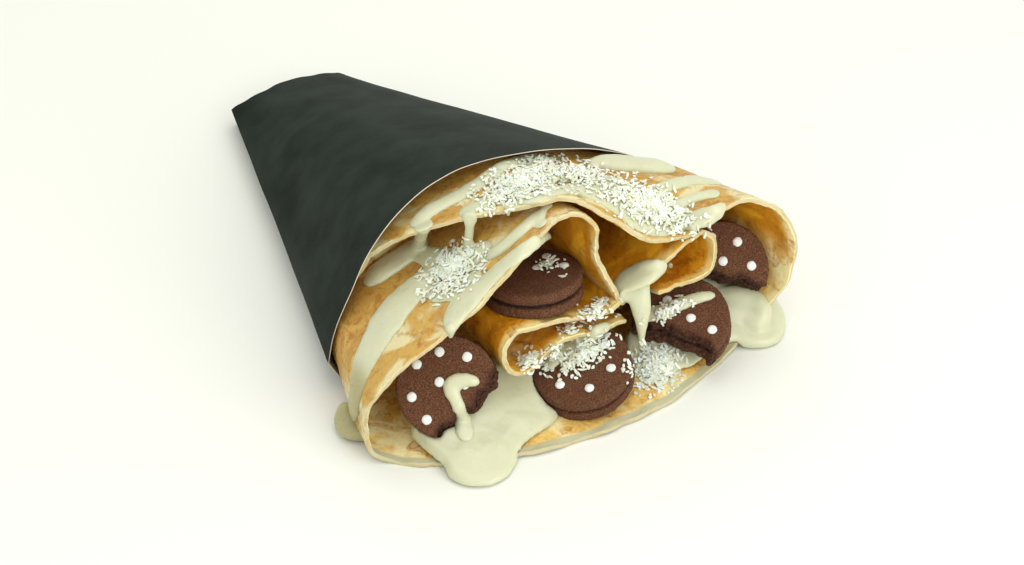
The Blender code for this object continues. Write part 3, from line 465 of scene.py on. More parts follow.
def keep_inside(piece, cone, clear):
    """Keeps the corners in the paper, and just in front of it, this many millimetres off it."""
    mouth = spot((0, MOUTH_Y, 0))
    far_end = spot((0, END_Y, 0))
    for corner in piece.data.vertices:
        share = (corner.co.y - mouth.y) / (far_end - mouth).y
        height = MOUTH_MIDDLE + (END_MIDDLE - MOUTH_MIDDLE) * share
        middle = Vector((mouth.x, corner.co.y, height * MM))
        way = corner.co - middle
        if share < RIM_SHARE or way.length < MM:
            continue
        for deeper in (0, RIM_REACH):
            hit, _, _, far = cone.ray_cast(middle + Vector((0, deeper * MM, 0)), way.normalized())
            if hit is not None:
                break
        if hit is not None and far - clear * MM < way.length:
            corner.co = middle + way.normalized() * (far - clear * MM)


def paper_cone(finishes):
    """The cone: its mouth and its flat end bridged with straight lines, then given thickness."""
    mouth = curve_through("paper_cone", MOUTH, PAPER_STEPS, PAPER_CORNERS, closed=True)
    far_end = curve_through("far_end", FAR_END, PAPER_STEPS, PAPER_CORNERS, closed=True)
    begin()
    far_end.select_set(True)
    mouth.select_set(True)
    bpy.context.view_layer.objects.active = mouth
    bpy.ops.object.join()
    edit_all()
    bpy.ops.mesh.bridge_edge_loops(number_cuts=PAPER_ROWS, interpolation="LINEAR")
    even_normals()
    for finish in finishes:
        mouth.data.materials.append(finish)
    finish_modifiers(
        mouth,
        uneven(size=60, strength=1.2),
        ("SOLIDIFY", {"thickness": PAPER_THICKNESS * MM, "offset": -1, "material_offset": 1,
                      "material_offset_rim": 2}),
    )
    bpy.ops.object.shade_smooth_by_angle(angle=PAPER_SHARP)
    return mouth


def inner_folds(finish, cone):
    """The folded mass that fills the cone behind the mouth."""
    front = [(x, CORE_FRONT_Y, z) for x, z in CORE_FRONT]
    piece = curve_through("inner_folds", front, CORE_STEPS, closed=True)
    edit_all()
    bpy.ops.mesh.edge_face_add()
    for width in CORE_INSETS:
        bpy.ops.mesh.inset(thickness=width * MM)
    bpy.ops.mesh.poke()
    bpy.ops.object.mode_set(mode="OBJECT")
    bpy.ops.object.mode_set(mode="EDIT")
    bpy.ops.mesh.select_mode(type="EDGE")
    bpy.ops.mesh.select_all(action="DESELECT")
    bpy.ops.mesh.select_non_manifold()
    for _ in range(CORE_ROWS):
        bpy.ops.mesh.extrude_region_move()
        bpy.ops.transform.resize(value=[CORE_ROW_SHARE] * 3, center_override=spot(APEX))
    bpy.ops.mesh.edge_face_add()
    bpy.ops.mesh.select_all(action="SELECT")
    even_normals()
    piece.data.materials.append(finish)
    finish_modifiers(
        piece,
        ("REMESH", {"mode": "VOXEL", "voxel_size": CORE_GRAIN * MM}),
        uneven(size=16, strength=5),
        ("SMOOTH", {"factor": 0.5, "iterations": 4}),
        uneven(size=4, strength=0.8),
    )
    keep_inside(piece, cone, CORE_CLEAR)
    bpy.ops.object.shade_smooth()
    return piece


def cookie_frame(centre, normal):
    """Places a cookie: its face looks along the normal, its right side is the view's."""
    up = Vector(normal).normalized()
    right = (VIEW_RIGHT - up * VIEW_RIGHT.dot(up)).normalized()
    turn = Matrix((right, up.cross(right), up)).transposed().to_4x4()
    return Matrix.Translation(spot(centre)) @ turn


def disc(name, radius, low, high, edge):
    """A disc with rounded edges, upright at the origin."""
    begin()
    middle = (low + high) / 2 * MM
    bpy.ops.mesh.primitive_cylinder_add(
        vertices=DISC_SIDES, radius=radius * MM, depth=(high - low) * MM, location=(0, 0, middle))
    made = bpy.context.object
    made.name = name
    for side in made.data.edges:
        ends = [made.data.vertices[index].co.z for index in side.vertices]
        side.select = abs(ends[0] - ends[1]) < TINY
    bpy.ops.object.mode_set(mode="EDIT")
    bpy.ops.mesh.select_mode(type="EDGE")
    bpy.ops.mesh.bevel(offset=edge * MM, segments=EDGE_STEPS, affect="EDGES")
    bpy.ops.object.mode_set(mode="OBJECT")
    bpy.ops.object.transform_apply(location=True)
    return made


def line_distance(line, x, y):
    """How far the point is from the break line."""
    nearest = math.inf
    for (ax, ay), (bx, by) in zip(line, line[1:]):
        run = Vector((bx - ax, by - ay))
        t = clamp(Vector((x - ax, y - ay)).dot(run) / run.length_squared)
        off = Vector((x - ax - run.x * t, y - ay - run.y * t))
        nearest = min(nearest, off.length)
    return nearest


def break_cutter(line, shift):
    """A ragged wall along the break line, with all that is outside it."""
    ends = Vector((line[-1][1] - line[0][1], line[0][0] - line[-1][0])).normalized()
    if Vector(line[len(line) // 2]).dot(ends) < 0:
        ends = -ends
    begin()
    bpy.ops.mesh.primitive_plane_add()
    cutter = bpy.context.object
    lean = ends * (BREAK_LEAN * CUTTER_HALF)
    outline = [Vector(point) + ends * shift + lean for point in line]
    outline += [outline[-1] + ends * CUTTER_REACH, outline[0] + ends * CUTTER_REACH]
    cutter.data.clear_geometry()
    points = [(x * MM, y * MM, -CUTTER_HALF * MM) for x, y in outline]
    cutter.data.from_pydata(points, [], [tuple(range(len(outline)))])
    edit_all()
    way = Vector((*(lean * -2), CUTTER_HALF * 2)) * MM
    bpy.ops.mesh.extrude_region_move(TRANSFORM_OT_translate={"value": way})
    bpy.ops.mesh.select_all(action="SELECT")
    even_normals()
    finish_modifiers(
        cutter,
        ("REMESH", {"mode": "VOXEL", "voxel_size": CUTTER_GRAIN * MM}),
        uneven(size=3.2, strength=2.6),
    )
    return cutter


def baked_disc(name, frame, line, radius, low, high, edge, shift, finish):
    """A biscuit or a filling: a rounded disc, broken along its line, with a grainy surface."""
    piece = disc(name, radius, low, high, edge)
    steps = []
    if line:
        cutter = break_cutter(line, shift)
        begin()
        piece.select_set(True)
        finish_modifiers(piece, ("BOOLEAN", {"object": cutter, "operation": "DIFFERENCE",
                                             "solver": "MANIFOLD"}))
        bpy.data.objects.remove(cutter)
    finish_modifiers(piece, ("REMESH", {"mode": "VOXEL", "voxel_size": COOKIE_GRAIN * MM}))
    if line:
        weights = []
        for corner in piece.data.vertices:
            near = line_distance(line, corner.co.x / MM, corner.co.y / MM)
            weights.append(clamp((BROKEN_REACH - near) / BROKEN_FADE))
        store(piece, "broken", weights)
        group = piece.vertex_groups.new(name="broken_side")
        for index, weight in enumerate(weights):
            if weight:
                group.add([index], weight, "REPLACE")
        steps.append(uneven(size=2.4, strength=2.2, group="broken_side"))
    finish_modifiers(
        piece,
        ("SMOOTH", {"factor": 0.5, "iterations": 2}),
        *steps,
        uneven(size=1.3, strength=0.6),
        uneven(size=12, strength=0.5),
    )
    piece.data.materials.clear()
    piece.data.materials.append(finish)
    piece.matrix_world = frame
    begin()
    piece.select_set(True)
    bpy.context.view_layer.objects.active = piece
    bpy.ops.object.transform_apply(location=True, rotation=True, scale=True)
    bpy.ops.object.shade_smooth()
    return piece


def cookie(name, finishes):
    """The two biscuits and the filling of one cookie, each standing for its node."""
    centre, normal, line = COOKIES[name]
    frame = cookie_frame(centre, normal)
    inner = FILLING_THICKNESS / 2
    seat = inner + COOKIE_GAP / 2
    biscuit, filling = finishes
    parts = (
        ("top", COOKIE_RADIUS, seat, FACE_HEIGHT, BISCUIT_EDGE, 0, biscuit, "cocoa_biscuit"),
        ("base", COOKIE_RADIUS, -FACE_HEIGHT, -seat, BISCUIT_EDGE, BASE_SHIFT, biscuit, "cocoa_biscuit"),
        ("filling", FILLING_RADIUS, -inner, inner, FILLING_EDGE, FILLING_SHIFT, filling, "cocoa_filling"),
    )
    made = []
    for part, radius, low, high, edge, shift, finish, slot in parts:
        piece = baked_disc(f"{name}_{part}", frame, line, radius, low, high, edge, shift, finish)
        stands_for(piece, slot, f"cookie_{name}_{part}")
        made.append(piece)
    return made


def stands_for(piece, slot, *nodes):
    """Ties a finished piece to the root body and hides the nodes that it stands for; its slot is not used.
    """
    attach(piece, "root")
    if nodes:
        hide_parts(*nodes)


def trees_of(pieces):
    """A search tree over the surface of each piece."""
    graph = bpy.context.evaluated_depsgraph_get()
    return [BVHTree.FromObject(piece, graph) for piece in pieces]


def seen_at(trees, a, b):
    """The nearest place and normal on the sight line through this point of the view's plane."""
    eye = spot(VIEW_TARGET + VIEW_AWAY * VIEW_DISTANCE)
    way = (spot(VIEW_TARGET + VIEW_RIGHT * a + VIEW_UP * b) - eye).normalized()
    best = None
    for tree in trees:
        place, normal, _, far = tree.ray_cast(eye, way)
        if place is not None and (best is None or far < best[2]):
            best = (place, normal if normal.dot(way) < 0 else -normal, far)
    return best and best[:2]


def smooth_path(points, steps):
    """Points on a rounded line through the given ones, with this many steps between two."""
    knots = [Vector(point) for point in points]
    knots = [2 * knots[0] - knots[1], *knots, 2 * knots[-1] - knots[-2]]
    line = []
    for a, b, c, d in zip(knots, knots[1:], knots[2:], knots[3:]):
        for step in range(steps):
            t = step / steps
            line.append(0.5 * (2 * b + (c - a) * t + (2 * a - 5 * b + 4 * c - d) * t * t
                               + (3 * b - a - 3 * c + d) * t * t * t))
    line.append(knots[-2])
    return line


def drop_shape():
    """The corners and faces of one round drop, which every drop of cream copies."""
    begin()
    bpy.ops.mesh.primitive_uv_sphere_add(
        segments=DROP_SIDES, ring_count=DROP_RINGS, radius=1, location=(0, 0, 0))
    drop = bpy.context.object
    corners = [corner.co.copy() for corner in drop.data.vertices]
    sides = [tuple(face.vertices) for face in drop.data.polygons]
    bpy.data.objects.remove(drop)
    return corners, sides


def one_piece(name, points, faces, finish):
    """An object of these corners and faces, selected and active."""
    mesh = bpy.data.meshes.new(name)
    mesh.from_pydata(points, [], faces)
    piece = bpy.data.objects.new(name, mesh)
    bpy.context.scene.collection.objects.link(piece)
    piece.data.materials.append(finish)
    begin()
    piece.select_set(True)
    bpy.context.view_layer.objects.active = piece
    return piece


def drops_piece(name, drops, finish):
    """Flattened copies of the drop, each at its place, square to its normal."""
    corners, sides = drop_shape()
    points = []
    faces = []
    for place, normal, width, height in drops:
        turn = Vector(normal).to_track_quat("Z", "Y").to_matrix()
        base = len(points)
        points.extend(place + turn @ Vector((x * width, y * width, z * height)) * MM for x, y, z in corners)
        faces.extend(tuple(base + corner for corner in side) for side in sides)
    return one_piece(name, points, faces, finish)


def merged_copy(source):
    """A copy of a node's mesh, with its loose triangles merged at their corners."""
    copy = source.copy()
    copy.data = source.data.copy()
    copy.parent = None
    bpy.context.scene.collection.objects.link(copy)
    begin()
    copy.select_set(True)
    bpy.context.view_layer.objects.active = copy
    edit_all()
    bpy.ops.mesh.remove_doubles(threshold=TINY)
    bpy.ops.object.mode_set(mode="OBJECT")
    return copy


def cream_piece(name, drops, finish, grain=CREAM_GRAIN, source=None):
    """Drops of cream run together into one smooth piece; a copy of a node's mesh can be among them."""
    piece = drops_piece(name, drops, finish)
    if source:
        copy = merged_copy(source)
        piece.select_set(True)
        bpy.context.view_layer.objects.active = piece
        copy.select_set(True)
        bpy.ops.object.join()
    finish_modifiers(
        piece,
        ("REMESH", {"mode": "VOXEL", "voxel_size": grain * MM}),
        ("SMOOTH", {"factor": 0.5, "iterations": 10}),
        uneven(size=9, strength=0.6),
    )
    piece.data.materials.clear()
    piece.data.materials.append(finish)
    bpy.ops.object.shade_smooth()
    return piece


def stripe_drops(trees, path, height, dice):
    """Drops along a stripe laid on what the view shows, wider where it is seen at a slant."""
    line = [(seen_at(trees, a, b), half) for a, b, half in smooth_path(path, STRIPE_STEPS)]
    line = [(*hit, half) for hit, half in line if hit]
    drops = []
    for index, (_, _, half) in enumerate(line):
        near = line[max(0, index - STRIPE_EVENING):index + STRIPE_EVENING + 1]
        place = sum((other[0] for other in near), Vector()) / len(near)
        normal = sum((other[1] for other in near), Vector()).normalized()
        slant = max(LEAST_SLANT, normal.dot(VIEW_AWAY))
        width = half * dice.uniform(*STRIPE_WIDTHS) / math.sqrt(slant)
        inner = clamp(min(index, len(line) - 1 - index) / STRIPE_TAPER)
        high = height * (STRIPE_END + (1 - STRIPE_END) * inner)
        drops.append((place + normal * (STRIPE_LIFT * MM), normal, width, high))
    return drops


def all_stripes(trees, stripes, dice):
    """The drops of several stripes."""
    drops = []
    for path, height in stripes:
        drops += stripe_drops(trees, path, height, dice)
    return drops


def strand_drops(trees):
    """Drops along the strands over the slit; their ends lie wide and flat on the two layers."""
    drops = []
    for low, high, half in STRANDS:
        (start, first), (end, last) = seen_at(trees, *low), seen_at(trees, *high)
        for step in range(STRAND_STEPS + 1):
            t = step / STRAND_STEPS
            near_end = abs(2 * t - 1) ** STRAND_SUDDEN
            lying = VIEW_AWAY.lerp(first if t < 0.5 else last, near_end)
            width = half * (1 + STRAND_FLARE * near_end)
            drops.append((start.lerp(end, t), lying, width, STRAND_HEIGHT - STRAND_FLATTER * near_end))
    return drops


def drip_drops(trees):
    """Drops down the drips that hang from an edge."""
    drops = []
    for a, b, length, half in HANGING:
        place, normal = seen_at(trees, a, b)
        for step in range(DRIP_STEPS + 1):
            t = step / DRIP_STEPS
            low = place + (normal * (1 - t) - Vector((0, 0, length * t))) * MM
            drops.append((low, VIEW_AWAY, half * (1 - DRIP_TAPER * t), DRIP_HEIGHT - DRIP_FLATTER * t))
    return drops


def path_drops(path, steps, normal, height):
    """Drops of one height along a line of places with half widths."""
    return [(spot((x, y, z)), normal, half, height) for x, y, z, half in smooth_path(path, steps)]


def stream_drops():
    """Drops down the stream, none higher than it is wide."""
    falling = path_drops(STREAM, STREAM_STEPS, VIEW_AWAY, STREAM_HEIGHT)
    return [(place, normal, half, min(half, height)) for place, normal, half, height in falling]


def sugar_dots(finish):
    """Round sugar dots on the cookies' faces."""
    drops = []
    for name, places in DOTS.items():
        centre, normal, _ = COOKIES[name]
        frame = cookie_frame(centre, normal)
        for x, y in places:
            place = frame @ Vector((x * MM, y * MM, (FACE_HEIGHT + DOT_LIFT) * MM))
            drops.append((place, normal, DOT_RADIUS, DOT_HEIGHT))
    piece = drops_piece("sugar_dots", drops, finish)
    finish_modifiers(
        piece,
        ("SUBSURF", {"levels": 1, "render_levels": 1}),
        uneven(size=1.2, strength=0.35),
    )
    bpy.ops.object.shade_smooth()
    return piece


def shred_shape(dice):
    """The corners and faces of one curved sliver of coconut, along X, in millimetres."""
    crumb = dice.random() < CRUMB_SHARE
    length = dice.uniform(*(CRUMB_LENGTHS if crumb else SHRED_LENGTHS))
    width = dice.uniform(*SHRED_WIDTHS)
    thick = dice.uniform(*SHRED_DEPTHS)
    bend = dice.uniform(-SHRED_BEND, SHRED_BEND) * length
    twist = dice.uniform(-SHRED_TWIST, SHRED_TWIST)
    points = []
    for row in range(SHRED_ROWS):
        t = row / (SHRED_ROWS - 1) * 2 - 1
        taper = 1 - SHRED_TAPER * abs(t)
        turn = twist * t
        for y, z in ((-width, -thick), (width, -thick), (width, thick), (-width, thick)):
            y, z = y * taper, z * taper
            across = y * math.cos(turn) - z * math.sin(turn)
            up = y * math.sin(turn) + z * math.cos(turn) + bend * (t * t - SHRED_BEND_MIDDLE)
            points.append(Vector((t * length / 2, across, up)))
    faces = [(3, 2, 1, 0), tuple(range(4 * SHRED_ROWS - 4, 4 * SHRED_ROWS))]
    for row in range(SHRED_ROWS - 1):
        for side in range(4):
            a, b = row * 4 + side, row * 4 + (side + 1) % 4
            faces.append((a, b, b + 4, a + 4))
    return points, faces


def coconut(trees, finish, dice):
    """Shreds of coconut scattered over oval patches of what the view shows, all in one piece."""
    points = []
    faces = []
    for a, b, reach, width, angle, count in PATCHES:
        lean = Matrix.Rotation(math.radians(angle), 2)
        for _ in range(count):
            far = min(PATCH_REACH, abs(dice.gauss(0, PATCH_SPREAD)))
            turn = dice.uniform(0, 2 * math.pi)
            step = lean @ Vector((far * math.cos(turn) * reach, far * math.sin(turn) * width))
            hit = seen_at(trees, a + step.x, b + step.y)
            if not hit:
                continue
            place, normal = hit
            pile = max(0.0, 1 - far) * dice.uniform(0, PILE_HEIGHT)
            lying = Matrix.Rotation(dice.uniform(0, math.pi), 3, normal) @ normal.orthogonal()
            along = (lying.normalized() + normal * dice.uniform(-SHRED_LEAN, SHRED_LEAN)).normalized()
            across = normal.cross(along).normalized()
            up = along.cross(across)
            shape, sides = shred_shape(dice)
            base = len(points)
            for point in shape:
                points.append(place + normal * ((SHRED_LIFT + pile) * MM)
                              + (along * point.x + across * point.y + up * point.z) * MM)
            faces.extend(tuple(base + corner for corner in side) for side in sides)
    piece = one_piece("coconut_shreds", points, faces, finish)
    edit_all()
    even_normals()
    return piece


class Amount:
    """A socket that takes part in sums."""

    def __init__(self, finish, socket):
        self.finish = finish
        self.socket = socket

    def __add__(self, other):
        return self.finish.sum("ADD", self, other)

    def __sub__(self, other):
        return self.finish.sum("SUBTRACT", self, other)

    def __rsub__(self, other):
        return self.finish.sum("SUBTRACT", other, self)

    def __mul__(self, other):
        return self.finish.sum("MULTIPLY", self, other)

    __radd__ = __add__
    __rmul__ = __mul__


class Finish:
    """A material, with the ways its pattern is put together."""

    def __init__(self, name, **sockets):
        self.material = bpy.data.materials.new(name)
        self.material.use_nodes = True
        self.tree = self.material.node_tree
        self.shader = self.tree.nodes["Principled BSDF"]
        for key, value in sockets.items():
            self.shader.inputs[key.replace("_", " ")].default_value = value
        self.place = self.node("ShaderNodeTexCoord", output="Object")

    def put(self, target, value):
        """Links the socket to an amount, or sets it to a number or a colour."""
        if isinstance(value, Amount):
            self.tree.links.new(value.socket, target)
        elif hasattr(target.default_value, "__len__") and len(target.default_value) == 4:
            target.default_value = (*value, 1)
        else:
            target.default_value = value

    def node(self, kind, settings=None, inputs=None, output=0):
        """Any node, with its settings and the values or links of its sockets."""
        made = self.tree.nodes.new(kind)
        for key, value in (settings or {}).items():
            setattr(made, key, value)
        for key, value in (inputs or {}).items():
            self.put(made.inputs[key], value)
        return Amount(self, made.outputs[output])

    def sum(self, operation, first, second):
        return self.node("ShaderNodeMath", {"operation": operation}, {0: first, 1: second})

    def noise(self, size, detail=2.0, rough=0.5, distortion=0.0):
        """Soft patches of about this many millimetres."""
        return self.node("ShaderNodeTexNoise", None, {
            "Vector": self.place, "Scale": 1 / (size * MM), "Detail": detail,
            "Roughness": rough, "Distortion": distortion})

    def step(self, amount, low, high):
        """0 below low, 1 above high, smooth between them."""
        return self.node("ShaderNodeMapRange", {"interpolation_type": "SMOOTHSTEP"}, {
            "Value": amount, "From Min": low, "From Max": high})

    def blend(self, share, first, second):
        """The first colour, with this share of the second."""
        made = self.tree.nodes.new("ShaderNodeMix")
        made.data_type = "RGBA"
        self.put(made.inputs[0], share)
        self.put(made.inputs[6], first)
        self.put(made.inputs[7], second)
        return Amount(self, made.outputs[2])

    def stored(self, name):
        """The number that store kept for each corner."""
        return self.node("ShaderNodeAttribute", {"attribute_name": name}, output="Fac")

    def paint(self, colour, roughness=None, height=None, relief=None):
        """Puts the pattern on the surface; relief is the height of the bumps in millimetres."""
        self.put(self.shader.inputs["Base Color"], colour)
        if roughness:
            self.put(self.shader.inputs["Roughness"], roughness)
        if height:
            bump = self.node("ShaderNodeBump", None, {
                "Height": height, "Distance": relief * MM, "Strength": 1.0})
            self.put(self.shader.inputs["Normal"], bump)
        return self.material


def crepe_finish(name, pale, golden, brown, amber=None, height=(0, 0)):
    """Soft crepe: pale, with golden patches and brown veins; amber inside above these heights in metres.
    Towards the paper sleeve it turns browner with painted shade of the sleeve, and the low band behind the
    rim is darkened with painted shade.
    """
    finish = Finish(
        name, Roughness=0.55, Specular_IOR_Level=0.3, Subsurface_Weight=0.1, Subsurface_Scale=0.003)
    depth = finish.stored("rim_depth")
    toasted = finish.step(depth, 0.002, 0.005) * (1 - finish.step(depth, 0.008, 0.017))
    # Painted shade: far behind the rim, towards the paper sleeve, the patches turn golden and brown as if
    # the sleeve's shadow falls there
    painted_sleeve_shade = finish.step(depth, 0.018, 0.05)
    patches = finish.step(finish.noise(20, 3, 0.55, 0.8) + toasted * 0.08 + painted_sleeve_shade * 0.18, 0.46, 0.6)
    veins = finish.step(finish.noise(5.5, 4, 0.6, 2.2), 0.5, 0.62)
    broad = finish.step(finish.noise(11, 3, 0.6, 1.2) + toasted * 0.06 + painted_sleeve_shade * 0.19, 0.53, 0.64)
    specks = finish.step(finish.noise(1.4, 3, 0.6), 0.52, 0.72)
    colour = finish.blend(patches, pale, golden)
    high = finish.node("ShaderNodeSeparateXYZ", None, {"Vector": finish.place}, output="Z")
    if amber:
        inner = finish.step(high, *height) * finish.step(depth, 0.001, 0.006)
        colour = finish.blend(inner, colour, finish.blend(patches, *amber))
    colour = finish.blend(broad * (veins * 0.45 + 0.45) * 0.85, colour, brown)
    colour = finish.blend(veins * patches * 0.3, colour, brown)
    colour = finish.blend(specks * 0.18, colour, brown)
    # The low band just behind the rim takes the pale colour of the doubled edge, darkened to a greyish
    # olive with painted shade along the bottom lip
    low_rim = (1 - finish.step(high, 0.006, 0.013)) * (1 - finish.step(depth, 0.0028, 0.0046))
    pale_lip_and_shade = (0.40, 0.40, 0.26)
    colour = finish.blend(low_rim * 0.85, colour, pale_lip_and_shade)
    relief = finish.noise(1.4, 4, 0.6) * 0.6 + finish.noise(5, 2) * 0.8
    return finish.paint(colour, finish.noise(6, 2) * 0.25 + 0.42, relief, 0.5)


def edge_finish():
    """The pale, dry edge of the sheet, toasted in places."""
    finish = Finish("crepe_edge", Roughness=0.55, Subsurface_Weight=0.2, Subsurface_Scale=0.003)
    toasted = finish.step(finish.noise(9, 3, 0.6, 0.6), 0.5, 0.68)
    pale, brown = (0.52, 0.46, 0.26), (0.46, 0.30, 0.10)
    colour = finish.blend(toasted * 0.55, pale, brown)
    return finish.paint(colour, None, finish.noise(1.5, 3), 0.4)


def cream_finish():
    """Pouring cream, darkened towards olive at the far left with painted shade."""
    finish = Finish("pouring_cream", Roughness=0.3, Subsurface_Weight=0.25, Subsurface_Scale=0.006)
    finish.shader.inputs["Subsurface Radius"].default_value = (1, 0.7, 0.4)
    thin, thick, painted_shade_olive = (0.48, 0.49, 0.315), (0.575, 0.585, 0.395), (0.30, 0.26, 0.09)
    colour = finish.blend(finish.noise(14, 2), thin, thick)
    # Painted shade: the cream on the lobe at the far left, by the table, is darkened towards olive
    across = finish.node("ShaderNodeSeparateXYZ", None, {"Vector": finish.place}, output="X")
    shaded_far_left = 1 - finish.step(across, -0.093, -0.086)
    colour = finish.blend(shaded_far_left * 0.75, colour, painted_shade_olive)
    return finish.paint(colour, finish.noise(8, 2) * 0.2 + 0.2, finish.noise(6, 2), 0.3)


def biscuit_finish():
    """Dry, grainy cocoa crust, darker and crumbly where it is broken."""
    finish = Finish("cocoa_biscuit_crust", Roughness=0.85, Specular_IOR_Level=0.25)
    pore, crust = (0.052, 0.018, 0.007), (0.215, 0.094, 0.044)
    baked, broken_dark = (0.11, 0.038, 0.016), (0.032, 0.008, 0.004)
    broken = finish.stored("broken")
    grain = finish.noise(0.5, 3, 0.7)
    colour = finish.blend(finish.step(grain, 0.38, 0.66), pore, crust)
    patches = finish.step(finish.noise(3.2, 3, 0.6), 0.42, 0.66)
    colour = finish.blend(patches * 0.55, colour, baked)
    crumbs = finish.step(finish.noise(1.1, 4, 0.7), 0.4, 0.62)
    colour = finish.blend(broken * (1 - crumbs * 0.7), colour, broken_dark)
    return finish.paint(colour, grain * 0.2 + 0.7, grain + finish.noise(1.2, 3, 0.6), 0.6)


def filling_finish():
    finish = Finish("cocoa_cream", Roughness=0.6)
    colour = finish.blend(finish.noise(2, 3), (0.012, 0.004, 0.003), (0.035, 0.014, 0.009))
    return finish.paint(colour, None, finish.noise(0.8, 3), 0.3)


def sugar_finish():
    finish = Finish("white_sugar", Roughness=0.6)
    colour = finish.blend(finish.noise(1.5, 3), (0.60, 0.64, 0.60), (0.78, 0.82, 0.78))
    return finish.paint(colour, None, finish.noise(0.6, 3), 0.15)


def coconut_finish():
    """Dried coconut, white with yellowish patches."""
    finish = Finish("dried_coconut", Roughness=0.6, Subsurface_Weight=0.1, Subsurface_Scale=0.002)
    patches = finish.step(finish.noise(3, 3), 0.35, 0.65)
    colour = finish.blend(patches, (0.78, 0.82, 0.75), (0.68, 0.69, 0.52))
    return finish.paint(colour, None, finish.noise(0.5, 2), 0.1)


def paper_finish():
    """Uncoated charcoal paper, mottled and fibrous."""
    finish = Finish("charcoal_paper", Roughness=0.6, Specular_IOR_Level=0.08)
    fibres = finish.noise(1.2, 4, 0.7)
    mottle = finish.noise(30, 3, 0.6)
    colour = finish.blend(finish.step(mottle, 0.3, 0.7), (0.003, 0.009, 0.004), (0.014, 0.023, 0.016))
    colour = finish.blend(finish.step(fibres, 0.55, 0.8) * 0.3, colour, (0.034, 0.046, 0.036))
    return finish.paint(colour, fibres * 0.15 + 0.55, fibres, 0.12)


def lining_finish():
    finish = Finish("pale_paper_lining", Roughness=0.75)
    fibres = finish.noise(1.0, 4, 0.7)
    colour = finish.blend(fibres, (0.50, 0.50, 0.44), (0.64, 0.64, 0.58))
    return finish.paint(colour, None, fibres, 0.1)


def kraft_finish():
    finish = Finish("cut_paper_edge", Roughness=0.8)
    colour = finish.blend(finish.noise(3, 3), (0.52, 0.44, 0.34), (0.70, 0.64, 0.54))
    return finish.paint(colour, None, finish.noise(0.8, 3), 0.08)


def floor_finish():
    finish = Finish("pale_table", Roughness=0.6)
    colour = finish.blend(finish.noise(300, 2), (0.735, 0.745, 0.68), (0.75, 0.76, 0.695))
    return finish.paint(colour)


def camera():
    bpy.ops.object.camera_add(
        location=spot(VIEW_TARGET + VIEW_AWAY * VIEW_DISTANCE),
        rotation=VIEW_AWAY.to_track_quat("Z", "Y").to_euler())
    made = bpy.context.object
    made.data.lens = VIEW_LENS
    made.data.sensor_width = VIEW_SENSOR
    bpy.context.scene.camera = made


def lamp(place, aim, size, power):
    """A square area light that shines on its aim."""
    bpy.ops.object.light_add(type="AREA", location=place)
    made = bpy.context.object
    made.rotation_euler = (Vector(place) - Vector(aim)).to_track_quat("Z", "Y").to_euler()
    made.data.size = size
    made.data.energy = power


def studio(finish):
    """A plain pale floor and soft light from all round, from above, from the front and from the left."""
    bpy.ops.mesh.primitive_plane_add(size=FLOOR_SIZE, location=(0, 0, -FLOOR_DROP))
    floor = bpy.context.object
    floor.name = "floor"
    floor.data.materials.append(finish)
    world = bpy.data.worlds.new("soft_daylight")
    bpy.context.scene.world = world
    world.use_nodes = True
    sky = world.node_tree.nodes["Background"]
    sky.inputs["Color"].default_value = SKY_COLOUR
    sky.inputs["Strength"].default_value = SKY_STRENGTH
    for place, aim, size, power in LAMPS:
        lamp(place, aim, size, power)


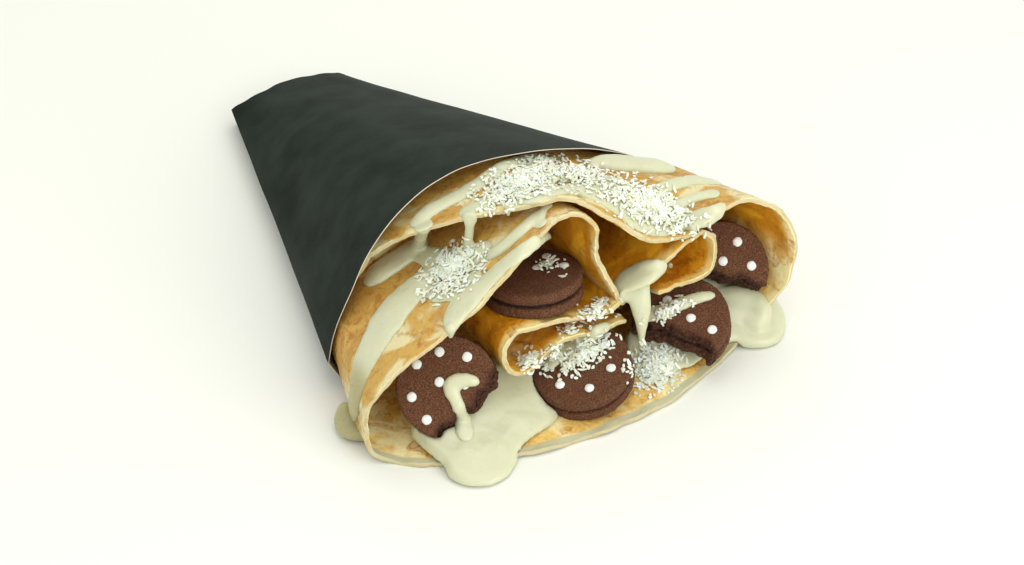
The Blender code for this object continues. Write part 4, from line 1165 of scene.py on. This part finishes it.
def crepe_sheets(paper):
    """The wrap, the tube, the scoop and the folded mass behind them, each standing for the crepe."""
    outside = crepe_finish(
        "crepe_outside", pale=(0.66, 0.59, 0.32), golden=(0.54, 0.335, 0.075), brown=(0.34, 0.145, 0.022))
    amber = (0.80, 0.40, 0.017), (0.60, 0.24, 0.004)
    inside = crepe_finish(
        "crepe_inside", pale=(0.80, 0.70, 0.36), golden=(0.72, 0.48, 0.13), brown=(0.42, 0.17, 0.02),
        amber=amber, height=(0.034, 0.048))
    tube_inside = crepe_finish(
        "tube_inside", pale=(0.78, 0.64, 0.26), golden=(0.70, 0.42, 0.06), brown=(0.34, 0.12, 0.008),
        amber=amber, height=(0.020, 0.036))
    edge = edge_finish()
    tube_finishes = [tube_inside, tube_inside, edge]
    wrap = rolled_sheet("crepe_wrap", WRAP, APEX, [outside, inside, edge], paper)
    tube = rolled_sheet("crepe_tube", TUBE, TUBE_APEX, tube_finishes, paper)
    scoop = rolled_sheet("crepe_scoop", SCOOP, TUBE_APEX, tube_finishes, paper)
    core = inner_folds(inside, paper)
    for piece in (wrap, tube, scoop, core):
        stands_for(piece, "crepe", "crepe")
    return wrap, tube, scoop


def cream_pool(side, heap, finish):
    """A pool of cream: its node's own form, with its heap and one tiny drop on a corner run into it."""
    source = bpy.data.objects[f"cream_pool_{side}"]
    corner = (source.data.vertices[0].co, VIEW_AWAY, LEAST_DROP, LEAST_DROP)
    pool = cream_piece(f"cream_{side}", [*heap, corner], finish, POOL_GRAIN, source)
    stands_for(pool, "cream", source.name)
    return pool


def cream_on_folds(folds, finish, dice):
    """The stripes, strands and drips on the crepe, the stream, and the cream that has run to the table."""
    trees = trees_of(folds)
    drops = strand_drops(trees) + drip_drops(trees) + stream_drops()
    drops += path_drops(LOBE, LOBE_STEPS, (0, 0, 1), LOBE_HEIGHT)
    drops += all_stripes(trees, STRIPES, dice)
    stripes = cream_piece("cream_stripes", drops, finish)
    stands_for(stripes, "cream", "crepe")
    return stripes


def main():
    """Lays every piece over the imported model."""
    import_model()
    dice = random.Random(SEED)
    camera()
    bpy.context.scene.view_settings.view_transform = "Standard"
    cone = paper_cone([paper_finish(), lining_finish(), kraft_finish()])
    stands_for(cone, "black_paper", "paper_sleeve")
    folds = crepe_sheets(trees_of([cone])[0])
    cookie_finishes = (biscuit_finish(), filling_finish())
    tops = [cookie(name, cookie_finishes)[0] for name in COOKIES]
    cream = cream_finish()
    heap = path_drops(HEAP, HEAP_STEPS, VIEW_AWAY, HEAP_HEIGHT)
    pools = [cream_pool("front", [], cream), cream_pool("right", heap, cream)]
    stripes = cream_on_folds(folds, cream, dice)
    faces = trees_of([*tops, *pools, folds[1]])
    on_cookies = cream_piece("cream_on_cookies", all_stripes(faces, COOKIE_STRIPES, dice), cream)
    stands_for(on_cookies, "cream")
    stands_for(sugar_dots(sugar_finish()), "cream")
    lying_on = trees_of([*folds, stripes, on_cookies, *tops, *pools])
    stands_for(coconut(lying_on, coconut_finish(), dice), "cream")
    studio(floor_finish())


main()
